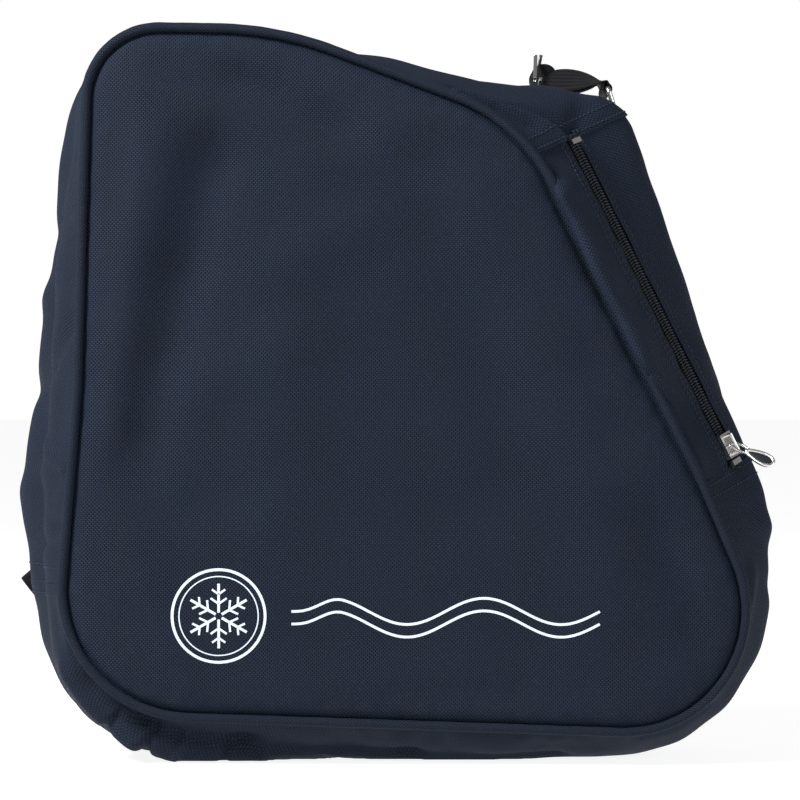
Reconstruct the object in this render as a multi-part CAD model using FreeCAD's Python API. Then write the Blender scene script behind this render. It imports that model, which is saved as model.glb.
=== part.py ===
"""Ski boot bag: two piped panels, a gusset, a slope zip and a carry strap.

Millimetres. +X is to the right seen from the front, +Y to the back, +Z up.
The origin is the middle of the flat base that the bag stands on.
Run it from any folder: it writes one STEP file per sub-part into parts/.
"""

import FreeCAD
import Part
import math
import os

V = FreeCAD.Vector

# ---------------------------------------------------------------- driving sizes

# The slope is the straight side that the zip runs down, to the right.
SLOPE_FALL = 2.0  # how far the slope drops for each millimetre to the right
SLOPE_SEAM = 228.0  # distance of the slope seam from the origin

SEAM_Y = 60.0  # the piped seams, each side of the middle
ZIP_Y = -30.0  # the zip is nearer to the front
WIDE_Y = 0.0  # where the gusset stands out most
BACK_Y = 36.0  # where it starts to round off towards the back seam
ZIP_OUT = 24.0  # how far the zip stands out from the slope seam

CLOTH = 1.5  # coated polyester on a thin foam
GUSSET_WALL = 2.0
PIPING_R = 2.7
PANEL_DOME = 6.0  # how far each panel bulges
DOME_RIM = 45.0  # over this much of its edge
BINDING_IN = 11.0
BINDING_THICK = 3.0

MOUTH_TOP = -258.0  # the part of the slope that opens, measured down it
MOUTH_LOW = -88.0
ZIP_TOP = -279.0  # the two ends of the chain
ZIP_LOW = -67.0
ZIP_SLOT = 7.5  # half the gap between the two stitched cloth edges
TAPE_HALF = 14.0
TAPE_THICK = 0.8
COIL_HALF = 3.75
COIL_THICK = 3.0
COIL_GAP = 0.7  # half the slot that the slider's post runs in
STOP_LONG = 3.0

SLIDER_LONG = 15.0
SLIDER_WALL = 1.5
POST_HALF = 0.4
BRIDGE_LONG = 11.0
BRIDGE_R = 0.9
BRIDGE_HIGH = 4.6
PULL_LONG = 29.0
PULL_WIDE = 11.0
PULL_THICK = 2.0
PULL_ANGLE = 44.0  # how far the pull stands off the chain at rest
PULL_ROD_R = 0.8

WEBBING = 38.0
WEB_THICK = 1.8
RING_ROD_R = 1.6
RING_DOWN = -285.0  # the ring's rod in the anchor tab, along and out of the slope
RING_OUT = 61.0
RING_BEHIND = 2.0  # behind the back seam
RING_REACH = 16.5
RING_TILT = 17.0  # degrees from upright
LEG_DOWN = (-319.0, -279.0)  # straight stretch that carries the tri-glide
LEG_OUT = 28.0
LEG_BEHIND = (13.0, 28.0)
GLIDE_LONG = 25.0
GLIDE_BAR = 3.0
GLIDE_AT = 14.0  # the tri-glide's middle, measured down that stretch
STRAP_END = (-203.0, 108.0)  # where the strap is sewn in at the heel
STRAP_END_LONG = 26.0

RUN = 0.4  # between pieces that move past each other
TOUCH = 0.05  # between pieces that are sewn together


# ---------------------------------------------------------------- slope frame

SLOPE_LEN = math.hypot(1.0, SLOPE_FALL)
DOWN = (1.0 / SLOPE_LEN, -SLOPE_FALL / SLOPE_LEN)
OUT = (SLOPE_FALL / SLOPE_LEN, 1.0 / SLOPE_LEN)


def slope_xz(down, out):
    """Front-view position of a point, from its slope distances."""
    return (down * DOWN[0] + out * OUT[0], down * DOWN[1] + out * OUT[1])


def slope_point(down, out, y):
    """A point, where out is measured from the slope seam."""
    x, z = slope_xz(down, SLOPE_SEAM + out)
    return V(x, y, z)


def unit(dx, dz):
    """Direction of a step in a flat view."""
    size = math.hypot(dx, dz)
    return (dx / size, dz / size)


# Across the chain towards the back, and out of its face, each as (out, y).
ACROSS = unit(ZIP_OUT - 1.0, ZIP_Y + SEAM_Y - PIPING_R)
FACING = (ACROSS[1], -ACROSS[0])


# ---------------------------------------------------------------- outlines

# Corners of each outline, counter-clockwise from the heel: x, z, corner radius.
PANEL_LINE = [
    (-200.0, 36.0, 74.0),
    (236.0, 20.0, 70.0),
    slope_xz(-72.0, SLOPE_SEAM) + (200.0,),
    slope_xz(-300.0, SLOPE_SEAM) + (105.0,),
    (-70.0, 423.0, 200.0),
    (-179.0, 425.0, 42.0),
    (-185.0, 215.0, 400.0),
]
BASE_UNDER = -0.6  # the rings dip under the base plane, which then trims them
ZIP_LINE = [
    (-206.0, BASE_UNDER, 72.0),
    (226.0, BASE_UNDER, 92.0),
    slope_xz(-50.0, SLOPE_SEAM + ZIP_OUT) + (100.0,),
    slope_xz(-298.0, SLOPE_SEAM + ZIP_OUT) + (36.0,),
    (-66.0, 428.0, 200.0),
    (-187.0, 432.0, 50.0),
    (-210.0, 165.0, 120.0),
]
BEHIND_ZIP = 16.5  # the cloth stays flat this far behind the zip
BEHIND_OUT = ZIP_OUT + BEHIND_ZIP * ACROSS[0]
BEHIND_LINE = ZIP_LINE[:2] + [
    slope_xz(-50.0, SLOPE_SEAM + BEHIND_OUT) + (100.0,),
    slope_xz(-298.0, SLOPE_SEAM + BEHIND_OUT) + (36.0,),
] + ZIP_LINE[4:]
WIDE_LINE = [
    (-210.0, BASE_UNDER, 80.0),
    (219.0, BASE_UNDER, 90.0),
    slope_xz(-52.0, SLOPE_SEAM + 38.0) + (100.0,),
    slope_xz(-296.0, SLOPE_SEAM + 58.0) + (34.0,),
    (-60.0, 425.0, 200.0),
    (-192.0, 434.0, 60.0),
    (-226.0, 140.0, 100.0),
]
BACK_LINE = [
    (-208.0, BASE_UNDER, 78.0),
    (222.0, BASE_UNDER, 88.0),
    slope_xz(-52.0, SLOPE_SEAM + 36.0) + (100.0,),
    slope_xz(-297.0, SLOPE_SEAM + 50.0) + (45.0,),
    (-62.0, 424.0, 200.0),
    (-190.0, 433.0, 56.0),
    (-219.0, 145.0, 100.0),
]


def inset(corners, by):
    """The outline with every side moved inwards, and its radii less by as much."""
    sides = []
    for i, corner in enumerate(corners):
        after = corners[(i + 1) % len(corners)]
        d = unit(after[0] - corner[0], after[1] - corner[1])
        sides.append(((corner[0] - d[1] * by, corner[1] + d[0] * by), d))
    moved = []
    for i, corner in enumerate(corners):
        (p, d) = sides[i - 1]
        (q, e) = sides[i]
        cross = d[0] * e[1] - d[1] * e[0]
        along = ((q[0] - p[0]) * e[1] - (q[1] - p[1]) * e[0]) / cross
        radius = max(corner[2] - by, 12.0)
        moved.append((p[0] + d[0] * along, p[1] + d[1] * along, radius))
    return moved


def corner_arc(before, corner, after, y):
    """Three points of the arc that rounds one corner."""
    d = unit(corner[0] - before[0], corner[1] - before[1])
    e = unit(after[0] - corner[0], after[1] - corner[1])
    turn = math.acos(d[0] * e[0] + d[1] * e[1])
    back = corner[2] * math.tan(turn / 2)
    m = unit(e[0] - d[0], e[1] - d[1])
    cut = corner[2] * (1 / math.cos(turn / 2) - 1)
    return (
        V(corner[0] - d[0] * back, y, corner[1] - d[1] * back),
        V(corner[0] + m[0] * cut, y, corner[1] + m[1] * cut),
        V(corner[0] + e[0] * back, y, corner[1] + e[1] * back),
    )


def outline(corners, y):
    """Closed wire of arcs and straight sides through rounded corners."""
    count = len(corners)
    arcs = []
    for i in range(count):
        arcs.append(corner_arc(corners[i - 1], corners[i], corners[(i + 1) % count], y))
    edges = []
    for i in range(count):
        edges.append(Part.Arc(*arcs[i]).toShape())
        edges.append(Part.LineSegment(arcs[i][2], arcs[(i + 1) % count][0]).toShape())
    return Part.Wire(edges)


def loft(rings):
    """Solid with straight walls from each ring to the next."""
    return Part.makeLoft(rings, True, True)


def slope_prism(points, start, end):
    """Solid along the slope, from its section's (out, y) corners."""
    corners = [slope_point(start, out, y) for out, y in points]
    face = Part.Face(Part.makePolygon(corners + corners[:1]))
    return face.extrude(slope_point(end, 0, 0) - slope_point(start, 0, 0))


# ---------------------------------------------------------------- panels and gusset


def panel(side):
    """A cloth panel that bulges outwards; side is -1 at the front, 1 at the back."""
    rim = PIPING_R + TOUCH
    level = side * SEAM_Y
    outer = [
        outline(inset(PANEL_LINE, rim), level - side * CLOTH / 2),
        outline(inset(PANEL_LINE, rim), level + side * CLOTH / 2),
        outline(inset(PANEL_LINE, DOME_RIM), level + side * (CLOTH / 2 + PANEL_DOME)),
    ]
    inner = [
        outline(inset(PANEL_LINE, rim + CLOTH), level - side * CLOTH),
        outline(inset(PANEL_LINE, rim + CLOTH), level - side * CLOTH / 2),
        outline(inset(PANEL_LINE, DOME_RIM), level + side * (PANEL_DOME - CLOTH / 2)),
    ]
    return loft(outer).cut(loft(inner))


def piping(side):
    """Cord piping in the seam, all the way round the panel."""
    path = outline(PANEL_LINE, side * SEAM_Y)
    start = path.Edges[1]
    middle = start.valueAt((start.FirstParameter + start.LastParameter) / 2)
    along = start.tangentAt(start.FirstParameter)
    edges = path.Edges
    half = Part.LineSegment(middle, edges[1].lastVertex().Point).toShape()
    other = Part.LineSegment(edges[1].firstVertex().Point, middle).toShape()
    spine = Part.Wire([half] + edges[2:] + [edges[0], other])
    ring = Part.Wire(Part.makeCircle(PIPING_R, middle, along))
    return spine.makePipeShell([ring], True, True)


def binding(side):
    """Woven tape over the raw edges, inside the seam."""
    near = side * (SEAM_Y - CLOTH / 2 - TOUCH)
    outer = Part.Face(outline(inset(PANEL_LINE, PIPING_R + 1.0), near))
    inner = Part.Face(outline(inset(PANEL_LINE, BINDING_IN), near))
    return outer.cut(inner).extrude(V(0, -side * BINDING_THICK, 0))


def gusset_shell():
    """The whole band between the two panels, trimmed flat at the base."""
    edge = SEAM_Y - PIPING_R - TOUCH
    seam = inset(PANEL_LINE, -1.0)
    levels = [-edge, ZIP_Y, ZIP_Y + BEHIND_ZIP * ACROSS[1], WIDE_Y, BACK_Y, edge]
    lines = [seam, ZIP_LINE, BEHIND_LINE, WIDE_LINE, BACK_LINE, seam]
    outer = loft([outline(line, y) for line, y in zip(lines, levels)])
    inner_rings = [outline(inset(line, GUSSET_WALL), y) for line, y in zip(lines, levels)]
    inner = loft(inner_rings)
    for line, y, step in ((lines[0], -edge, -5.0), (lines[-1], edge, 5.0)):
        face = Part.Face(outline(inset(line, GUSSET_WALL), y))
        inner = inner.fuse(face.extrude(V(0, step, 0)))
    under = Part.makeBox(600, 300, 50, V(-300, -150, -50))
    return outer.cut(inner).cut(under)


# ---------------------------------------------------------------- zip frame

def zip_section(across, facing):
    """Slope section position of a point given in the zip's own frame."""
    out = ZIP_OUT + across * ACROSS[0] + facing * FACING[0]
    y = ZIP_Y + across * ACROSS[1] + facing * FACING[1]
    return (out, y)


def zip_point(down, across, facing):
    """A point given in the zip's own frame."""
    out, y = zip_section(across, facing)
    return slope_point(down, out, y)


def zip_bar(across, facing, down):
    """Rectangular bar along the zip, from three (low, high) pairs."""
    section = [
        zip_section(across[0], facing[0]),
        zip_section(across[1], facing[0]),
        zip_section(across[1], facing[1]),
        zip_section(across[0], facing[1]),
    ]
    return slope_prism(section, down[0], down[1])


CLOTH_BACK = -GUSSET_WALL * FACING[0] - TOUCH  # inner face of the cloth at the zip
TAPE_BACK = CLOTH_BACK - TAPE_THICK
COIL_TOP = CLOTH_BACK + TOUCH + COIL_THICK
MOUTH = (MOUTH_TOP + RUN, MOUTH_LOW - RUN)


def mouth_half(shell, side):
    """The cloth strip on one side of the zip, from the cross seams inwards."""
    reach = 150.0
    keep = zip_bar(sorted((side * ZIP_SLOT, side * reach)), (-reach, 60.0), MOUTH)
    seam = Part.makeCylinder(
        PIPING_R + RUN,
        600,
        slope_point(-500, 0, side * SEAM_Y),
        V(DOWN[0], 0, DOWN[1]),
    )
    slab = slope_prism([(-8, -90), (120, -90), (120, 90), (-8, 90)], *MOUTH)
    return shell.common(slab).common(keep).cut(seam)


def fixed_gusset(shell):
    """What is left of the band round the mouth, with the slot for the zip's ends."""
    slab = slope_prism([(-30, -90), (150, -90), (150, 90), (-30, 90)], MOUTH_TOP, MOUTH_LOW)
    end = 4.0
    slot = zip_bar((-ZIP_SLOT, ZIP_SLOT), (-30.0, 30.0), (ZIP_TOP - end, ZIP_LOW + end))
    return shell.cut(slab).cut(slot)


def gusset_pieces(shell):
    """The band is seamed at the heel, so it comes in an upper and a lower piece."""
    body = fixed_gusset(shell)
    seam_z = 104.0  # at the heel
    toe_z = 260.0  # anywhere within the mouth
    big = 400.0

    def above(gap):
        heel_side = Part.makeBox(big, big, big, V(-big, -big / 2, seam_z + gap))
        return heel_side.fuse(Part.makeBox(big, big, big, V(-1.0, -big / 2, toe_z)))

    return body.common(above(TOUCH)), body.cut(above(0.0))


def tape_half(side, span):
    """One half of the zip tape, sewn under the edge of the cloth."""
    reach = sorted((side * COIL_GAP, side * TAPE_HALF))
    return zip_bar(reach, (TAPE_BACK, CLOTH_BACK), span)


def coil_half(side, span):
    """One half of the coil, as the strip of teeth that it fills."""
    reach = sorted((side * COIL_GAP, side * COIL_HALF))
    return zip_bar(reach, (CLOTH_BACK + TOUCH, COIL_TOP), span)


def chain_end(make, span, bridge):
    """Both halves of an end of the zip, joined where the slider never reaches."""
    near = zip_bar((-COIL_GAP, COIL_GAP), bridge[1], bridge[0])
    return make(-1, span).fuse(make(1, span)).fuse(near)


def chain_stop(down):
    """Small moulded stop across the chain."""
    wide = COIL_HALF + 0.6
    span = (down - STOP_LONG / 2, down + STOP_LONG / 2)
    return zip_bar((-wide, wide), (COIL_TOP + TOUCH, COIL_TOP + 1.2), span)


# ---------------------------------------------------------------- slider and pull

SLIDER_REST = MOUTH_LOW + RUN + SLIDER_LONG / 2 + 1.2
SLIDER_OPEN = MOUTH_TOP - RUN - SLIDER_LONG / 2 - 1.2
SLIDER_HALF = COIL_HALF + RUN + 1.4
PLATE_LOW = COIL_TOP + RUN
PLATE_TOP = PLATE_LOW + SLIDER_WALL
PIVOT_UP = PLATE_TOP + PULL_ROD_R + 0.5


def slider_body():
    """Two plates joined by the post that parts the teeth, with side flanges."""
    half = SLIDER_LONG / 2
    span = (SLIDER_REST - half, SLIDER_REST + half)
    under = TAPE_BACK - RUN
    shape = zip_bar((-SLIDER_HALF, SLIDER_HALF), (PLATE_LOW, PLATE_TOP), span)
    lower = zip_bar((-SLIDER_HALF, SLIDER_HALF), (under - SLIDER_WALL, under), span)
    shape = shape.fuse(lower)
    for side in (-1, 1):
        reach = sorted((side * (COIL_HALF + RUN), side * SLIDER_HALF))
        shape = shape.fuse(zip_bar(reach, (CLOTH_BACK + RUN, PLATE_LOW), span))
    post = (SLIDER_REST - half, SLIDER_REST - half + 5.0)
    shape = shape.fuse(zip_bar((-POST_HALF, POST_HALF), (under, PLATE_LOW), post))
    return shape.removeSplitter()


def rod(start, end, radius):
    """Round bar between two points."""
    step = end - start
    return Part.makeCylinder(radius, step.Length, start, step)


def slider_bridge():
    """Arched wire on the slider that holds the pull."""
    half = BRIDGE_LONG / 2
    top = PLATE_TOP + BRIDGE_HIGH - BRIDGE_R
    shape = None
    for side in (-1, 1):
        foot = zip_point(SLIDER_REST + side * half, 0, PLATE_TOP + TOUCH)
        knee = zip_point(SLIDER_REST + side * half, 0, top)
        leg = rod(foot, knee, BRIDGE_R).fuse(Part.makeSphere(BRIDGE_R, knee))
        shape = leg if shape is None else shape.fuse(leg)
    ends = [zip_point(SLIDER_REST + side * half, 0, top) for side in (-1, 1)]
    return shape.fuse(rod(ends[0], ends[1], BRIDGE_R))


def pull_point(along, across, lift):
    """A point of the pull: along it, across the chain, and out of its face."""
    c = math.cos(math.radians(PULL_ANGLE))
    s = math.sin(math.radians(PULL_ANGLE))
    return zip_point(SLIDER_REST + along * c - lift * s, across, PIVOT_UP + along * s + lift * c)


def pull_plate(start, end, half, thick, nose):
    """Flat tongue with a rounded far end."""
    low = -thick / 2
    corners = [
        pull_point(start, -half, low),
        pull_point(end - nose, -half, low),
        pull_point(end, 0, low),
        pull_point(end - nose, half, low),
        pull_point(start, half, low),
    ]
    edges = [
        Part.LineSegment(corners[0], corners[1]).toShape(),
        Part.Arc(corners[1], corners[2], corners[3]).toShape(),
        Part.LineSegment(corners[3], corners[4]).toShape(),
        Part.LineSegment(corners[4], corners[0]).toShape(),
    ]
    lift = pull_point(0, 0, thick) - pull_point(0, 0, 0)
    return Part.Face(Part.Wire(edges)).extrude(lift)


PULL_NECK = 8.0
INSERT_RIM = 1.9


def pull_tab():
    """Metal pull: a cross rod through the bridge, two arms and an oval plate."""
    half = PULL_WIDE / 2
    arm = 3.4
    ends = [pull_point(0, side * arm, 0) for side in (-1, 1)]
    shape = rod(ends[0], ends[1], PULL_ROD_R)
    for side in (-1, 1):
        foot = pull_point(0, side * arm, 0)
        shape = shape.fuse(Part.makeSphere(PULL_ROD_R, foot))
        shape = shape.fuse(rod(foot, pull_point(PULL_NECK + 1.0, side * arm, 0), PULL_ROD_R))
    plate = pull_plate(PULL_NECK, PULL_LONG, half, PULL_THICK, half)
    hole = pull_plate(
        PULL_NECK + INSERT_RIM,
        PULL_LONG - INSERT_RIM,
        half - INSERT_RIM,
        PULL_THICK * 3,
        half - INSERT_RIM,
    )
    return shape.fuse(plate.cut(hole)).removeSplitter()


def pull_insert():
    """Soft dark infill in the pull's window."""
    rim = INSERT_RIM + TOUCH
    half = PULL_WIDE / 2 - rim
    return pull_plate(PULL_NECK + rim, PULL_LONG - rim, half, PULL_THICK * 0.7, half)


# ---------------------------------------------------------------- strap


def ribbon(stations, thick, wide):
    """Webbing through stations, each a point, its direction and its width direction."""
    rings = []
    for point, along, across in stations:
        along = V(along).normalize()
        across = (across - along * across.dot(along)).normalize()
        face = along.cross(across)
        w = across * (wide / 2)
        t = face * (thick / 2)
        rings.append([point - w - t, point + w - t, point + w + t, point - w + t])
    faces = []
    for ring in (rings[0], rings[-1]):
        faces.append(Part.Face(Part.makePolygon(ring + ring[:1])))
    for near, far in zip(rings, rings[1:]):
        for i in range(4):
            j = (i + 1) % 4
            one = Part.LineSegment(near[i], near[j]).toShape()
            two = Part.LineSegment(far[i], far[j]).toShape()
            faces.append(Part.makeRuledSurface(one, two))
    shell = Part.makeShell(faces)
    shell.sewShape()
    solid = Part.makeSolid(shell)
    if solid.Volume < 0:
        solid.reverse()
    return solid


def bezier(points, t):
    """Point on a smooth curve steered by a few points."""
    work = [V(p) for p in points]
    while len(work) > 1:
        work = [a + (b - a) * t for a, b in zip(work, work[1:])]
    return work[0]


def bezier_way(points, t):
    """Direction of that curve."""
    step = 0.001
    return bezier(points, min(t + step, 1.0)) - bezier(points, max(t - step, 0.0))


LEG_TOP = slope_point(LEG_DOWN[0], LEG_OUT, SEAM_Y + LEG_BEHIND[0])
LEG_LOW = slope_point(LEG_DOWN[1], LEG_OUT, SEAM_Y + LEG_BEHIND[1])
LEG_WAY = (LEG_LOW - LEG_TOP).normalize()
PIN = slope_point(RING_DOWN, RING_OUT, SEAM_Y + RING_BEHIND)
RING_WAY = V(-math.sin(math.radians(RING_TILT)), 0, math.cos(math.radians(RING_TILT)))
RING_FAR = PIN + RING_WAY * RING_REACH
DOUBLE = 2 * WEB_THICK


def strap_ring():
    """Rectangular wire ring between the anchor tab and the strap."""
    half = WEBBING / 2 + RING_ROD_R + 0.6
    side = V(0, half, 0)
    corners = [PIN - side, PIN + side, RING_FAR + side, RING_FAR - side]
    shape = None
    for i in range(4):
        bar = rod(corners[i], corners[(i + 1) % 4], RING_ROD_R)
        bar = bar.fuse(Part.makeSphere(RING_ROD_R, corners[i]))
        shape = bar if shape is None else shape.fuse(bar)
    return shape


def anchor_tab():
    """Short loop of webbing round the ring, its tail sewn down on the gusset."""
    inner = RING_ROD_R + RUN
    outer = inner + WEB_THICK
    start = PIN - V(0, WEBBING / 2, 0)
    loop = Part.makeCylinder(outer, WEBBING, start, V(0, 1, 0))
    loop = loop.cut(Part.makeCylinder(inner, WEBBING + 2, start - V(0, 1, 0), V(0, 1, 0)))
    up = V(-DOWN[0], 0, -DOWN[1])
    out = V(OUT[0], 0, OUT[1])
    lean = V(0, BACK_Y - SEAM_Y, 0) + out * 48.0  # the band leans in to the back seam
    lean = -lean.normalize()
    middle = (BACK_Y + SEAM_Y - PIPING_R) / 2
    sewn = slope_point(MOUTH_TOP - 4.0, 26.0, middle + 1.2)
    root = PIN - out * (inner + WEB_THICK / 2)
    stations = [
        (sewn, up, lean),
        (sewn + up * 8.0, up, lean),
        (root, up + out * 1.5, V(0, 1, 0)),
    ]
    return loop.fuse(ribbon(stations, WEB_THICK, WEBBING)).removeSplitter()


def adjuster():
    """Doubled end of the strap: round the ring, over the edge and down the back."""
    start = RING_FAR - V(0, WEBBING / 2, 0)
    inner = RING_ROD_R + TOUCH
    loop = Part.makeCylinder(inner + WEB_THICK, WEBBING, start, V(0, 1, 0))
    loop = loop.cut(Part.makeCylinder(inner, WEBBING + 2, start - V(0, 1, 0), V(0, 1, 0)))
    first = RING_FAR + RING_WAY * (inner + WEB_THICK - 0.6)
    steer = [first, first + RING_WAY * 14.0, LEG_TOP - LEG_WAY * 26.0, LEG_TOP]
    stations = []
    for i in range(6):
        stations.append((bezier(steer, i / 5), bezier_way(steer, i / 5), V(0, 1, 0)))
    stations.append((LEG_LOW, LEG_WAY, V(0, 1, 0)))
    return loop.fuse(ribbon(stations, DOUBLE, WEBBING)).removeSplitter()


def tri_glide():
    """Adjuster buckle: two side rails, end bars in front and a middle bar behind."""
    centre = LEG_TOP + LEG_WAY * GLIDE_AT
    across = V(0, 1, 0)
    across = (across - LEG_WAY * across.dot(LEG_WAY)).normalize()
    face = across.cross(LEG_WAY)
    rail_in = WEBBING / 2 + RUN
    bar_in = DOUBLE / 2 + RUN

    def block(along, wide, deep):
        low = centre + LEG_WAY * along[0] + across * wide[0] + face * deep[0]
        a = low + LEG_WAY * (along[1] - along[0])
        b = a + across * (wide[1] - wide[0])
        c = low + across * (wide[1] - wide[0])
        base = Part.Face(Part.makePolygon([low, a, b, c, low]))
        return base.extrude(face * (deep[1] - deep[0]))

    half = GLIDE_LONG / 2
    bar = 1.8
    depth = (-bar_in - bar, bar_in + bar)
    shape = None
    for side in (-1, 1):
        wide = sorted((side * rail_in, side * (rail_in + GLIDE_BAR)))
        rail = block((-half, half), wide, depth)
        shape = rail if shape is None else shape.fuse(rail)
    for end in (-half, half - GLIDE_BAR):
        front = block((end, end + GLIDE_BAR), (-rail_in, rail_in), (bar_in, bar_in + bar))
        shape = shape.fuse(front)
    middle = (-GLIDE_BAR / 2, GLIDE_BAR / 2)
    behind = block(middle, (-rail_in, rail_in), (-bar_in - bar, -bar_in))
    return shape.fuse(behind).removeSplitter()


STRAP_LIE = SEAM_Y + CLOTH / 2 + PANEL_DOME + 0.8  # just behind the back panel


def strap():
    """Single length of webbing that hangs behind the bag in a slack bend."""
    start = LEG_LOW + LEG_WAY * 0.6
    end = V(STRAP_END[0], 0, STRAP_END[1])
    steer = [
        V(start.x, 0, start.z),
        V(start.x - 22.0, 0, start.z - 170.0),
        V(60.0, 0, -50.0),
        V(-165.0, 0, 0.0),
        end,
    ]
    stations = [(LEG_LOW + LEG_WAY * 0.6, LEG_WAY, V(0, 1, 0))]
    count = 18
    for i in range(1, count + 1):
        t = i / count
        twist = math.radians(90.0 * min(1.0, max(0.0, (t - 0.2) / 0.75)) ** 1.4)
        middle = STRAP_LIE + WEB_THICK + WEBBING / 2 * math.cos(twist)
        point = bezier(steer, t)
        way = bezier_way(steer, t)
        point.y = middle
        normal = V(-way.z, 0, way.x).normalize()
        across = V(0, math.cos(twist), 0) + normal * math.sin(twist)
        stations.append((point, way, across))
    return ribbon(stations, WEB_THICK, WEBBING)


def strap_lower_end():
    """Folded end of the webbing, sewn behind the piping at the heel."""
    back = STRAP_LIE + WEB_THICK / 2 - RUN
    front = SEAM_Y + PIPING_R + TOUCH
    low = V(STRAP_END[0] - 9.0, front, STRAP_END[1] - WEBBING / 2)
    return Part.makeBox(STRAP_END_LONG, back - front, WEBBING, low)


# ---------------------------------------------------------------- build


def build():
    """Every sub-part by its node name."""
    shell = gusset_shell()
    heel, base = gusset_pieces(shell)
    upper_span = (ZIP_TOP, MOUTH_TOP - RUN)
    lower_span = (MOUTH_LOW + RUN, ZIP_LOW)
    upper_join = (ZIP_TOP, ZIP_TOP + 1.2)
    lower_join = (ZIP_LOW - 1.2, ZIP_LOW)
    tape_level = (TAPE_BACK, CLOTH_BACK)
    coil_level = (CLOTH_BACK + TOUCH, COIL_TOP)
    parts = {
        "front_panel": panel(-1),
        "back_panel": panel(1),
        "front_piping": piping(-1),
        "back_piping": piping(1),
        "front_seam_binding": binding(-1),
        "back_seam_binding": binding(1),
        "heel_and_top_gusset": heel,
        "base_and_toe_gusset": base,
        "zip_strip_front": mouth_half(shell, -1),
        "zip_strip_back": mouth_half(shell, 1),
        "zip_tape_front": tape_half(-1, MOUTH),
        "zip_tape_back": tape_half(1, MOUTH),
        "zip_coil_front": coil_half(-1, MOUTH),
        "zip_coil_back": coil_half(1, MOUTH),
        "zip_tape_upper_end": chain_end(tape_half, upper_span, (upper_join, tape_level)),
        "zip_tape_lower_end": chain_end(tape_half, lower_span, (lower_join, tape_level)),
        "zip_coil_upper_end": chain_end(coil_half, upper_span, (upper_join, coil_level)),
        "zip_coil_lower_end": chain_end(coil_half, lower_span, (lower_join, coil_level)),
        "zip_stop_upper": chain_stop(ZIP_TOP + STOP_LONG / 2),
        "zip_stop_lower": chain_stop(ZIP_LOW - STOP_LONG / 2),
        "slider_body": slider_body(),
        "slider_bridge": slider_bridge(),
        "pull_tab": pull_tab(),
        "pull_insert": pull_insert(),
        "strap_anchor_tab": anchor_tab(),
        "strap_ring": strap_ring(),
        "strap_adjuster_loop": adjuster(),
        "strap_tri_glide": tri_glide(),
        "strap_webbing": strap(),
        "strap_lower_end": strap_lower_end(),
    }
    return parts


os.makedirs("parts", exist_ok=True)
for name, shape in build().items():
    box = shape.BoundBox
    print(
        name,
        "valid" if shape.isValid() else "NOT VALID",
        "solids", len(shape.Solids),
        "volume", round(shape.Volume),
        "x", round(box.XMin, 1), round(box.XMax, 1),
        "y", round(box.YMin, 1), round(box.YMax, 1),
        "z", round(box.ZMin, 1), round(box.ZMax, 1),
    )
    shape.exportStep("parts/" + name + ".step")
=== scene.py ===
import math

import bpy
import numpy as np
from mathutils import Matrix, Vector


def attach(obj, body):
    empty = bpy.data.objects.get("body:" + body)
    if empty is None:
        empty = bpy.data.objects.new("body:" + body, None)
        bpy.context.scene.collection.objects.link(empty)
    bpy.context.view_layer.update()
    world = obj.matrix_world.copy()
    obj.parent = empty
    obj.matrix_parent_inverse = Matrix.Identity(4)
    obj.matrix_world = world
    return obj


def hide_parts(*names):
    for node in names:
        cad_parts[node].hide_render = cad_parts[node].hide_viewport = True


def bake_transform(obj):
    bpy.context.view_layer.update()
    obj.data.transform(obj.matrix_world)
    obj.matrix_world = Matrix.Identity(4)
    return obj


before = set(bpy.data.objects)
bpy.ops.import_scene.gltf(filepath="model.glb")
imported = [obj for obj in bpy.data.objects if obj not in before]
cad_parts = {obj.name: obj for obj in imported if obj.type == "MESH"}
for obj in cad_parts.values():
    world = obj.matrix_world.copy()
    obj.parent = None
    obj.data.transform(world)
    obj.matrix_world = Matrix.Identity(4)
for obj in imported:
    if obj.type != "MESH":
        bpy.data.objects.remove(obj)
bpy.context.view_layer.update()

# %% [markdown]
# A ski boot bag is sewn from flat cloth: two panels of the same outline, a long band
# between them called the gusset, a cord piping in each seam, a zip in the band where
# it runs down the slope, and a strap of webbing. Every shape here is a surface worked
# out by a formula, because cloth is smooth and thin, and a grid of points follows it
# with faces of an even size. Lengths are in millimetres until a mesh is made.

# %% A mesh from a grid of points
MM = 0.001


def new_piece(name, points, faces):
    """A smooth mesh and its object, from points in millimetres and each face's corners."""
    mesh = bpy.data.meshes.new(name)
    mesh.from_pydata((points.reshape(-1, 3) * MM).tolist(), [], faces)
    mesh.polygons.foreach_set("use_smooth", [True] * len(mesh.polygons))
    mesh.update()
    thing = bpy.data.objects.new(name, mesh)
    bpy.context.scene.collection.objects.link(thing)
    return thing


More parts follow.
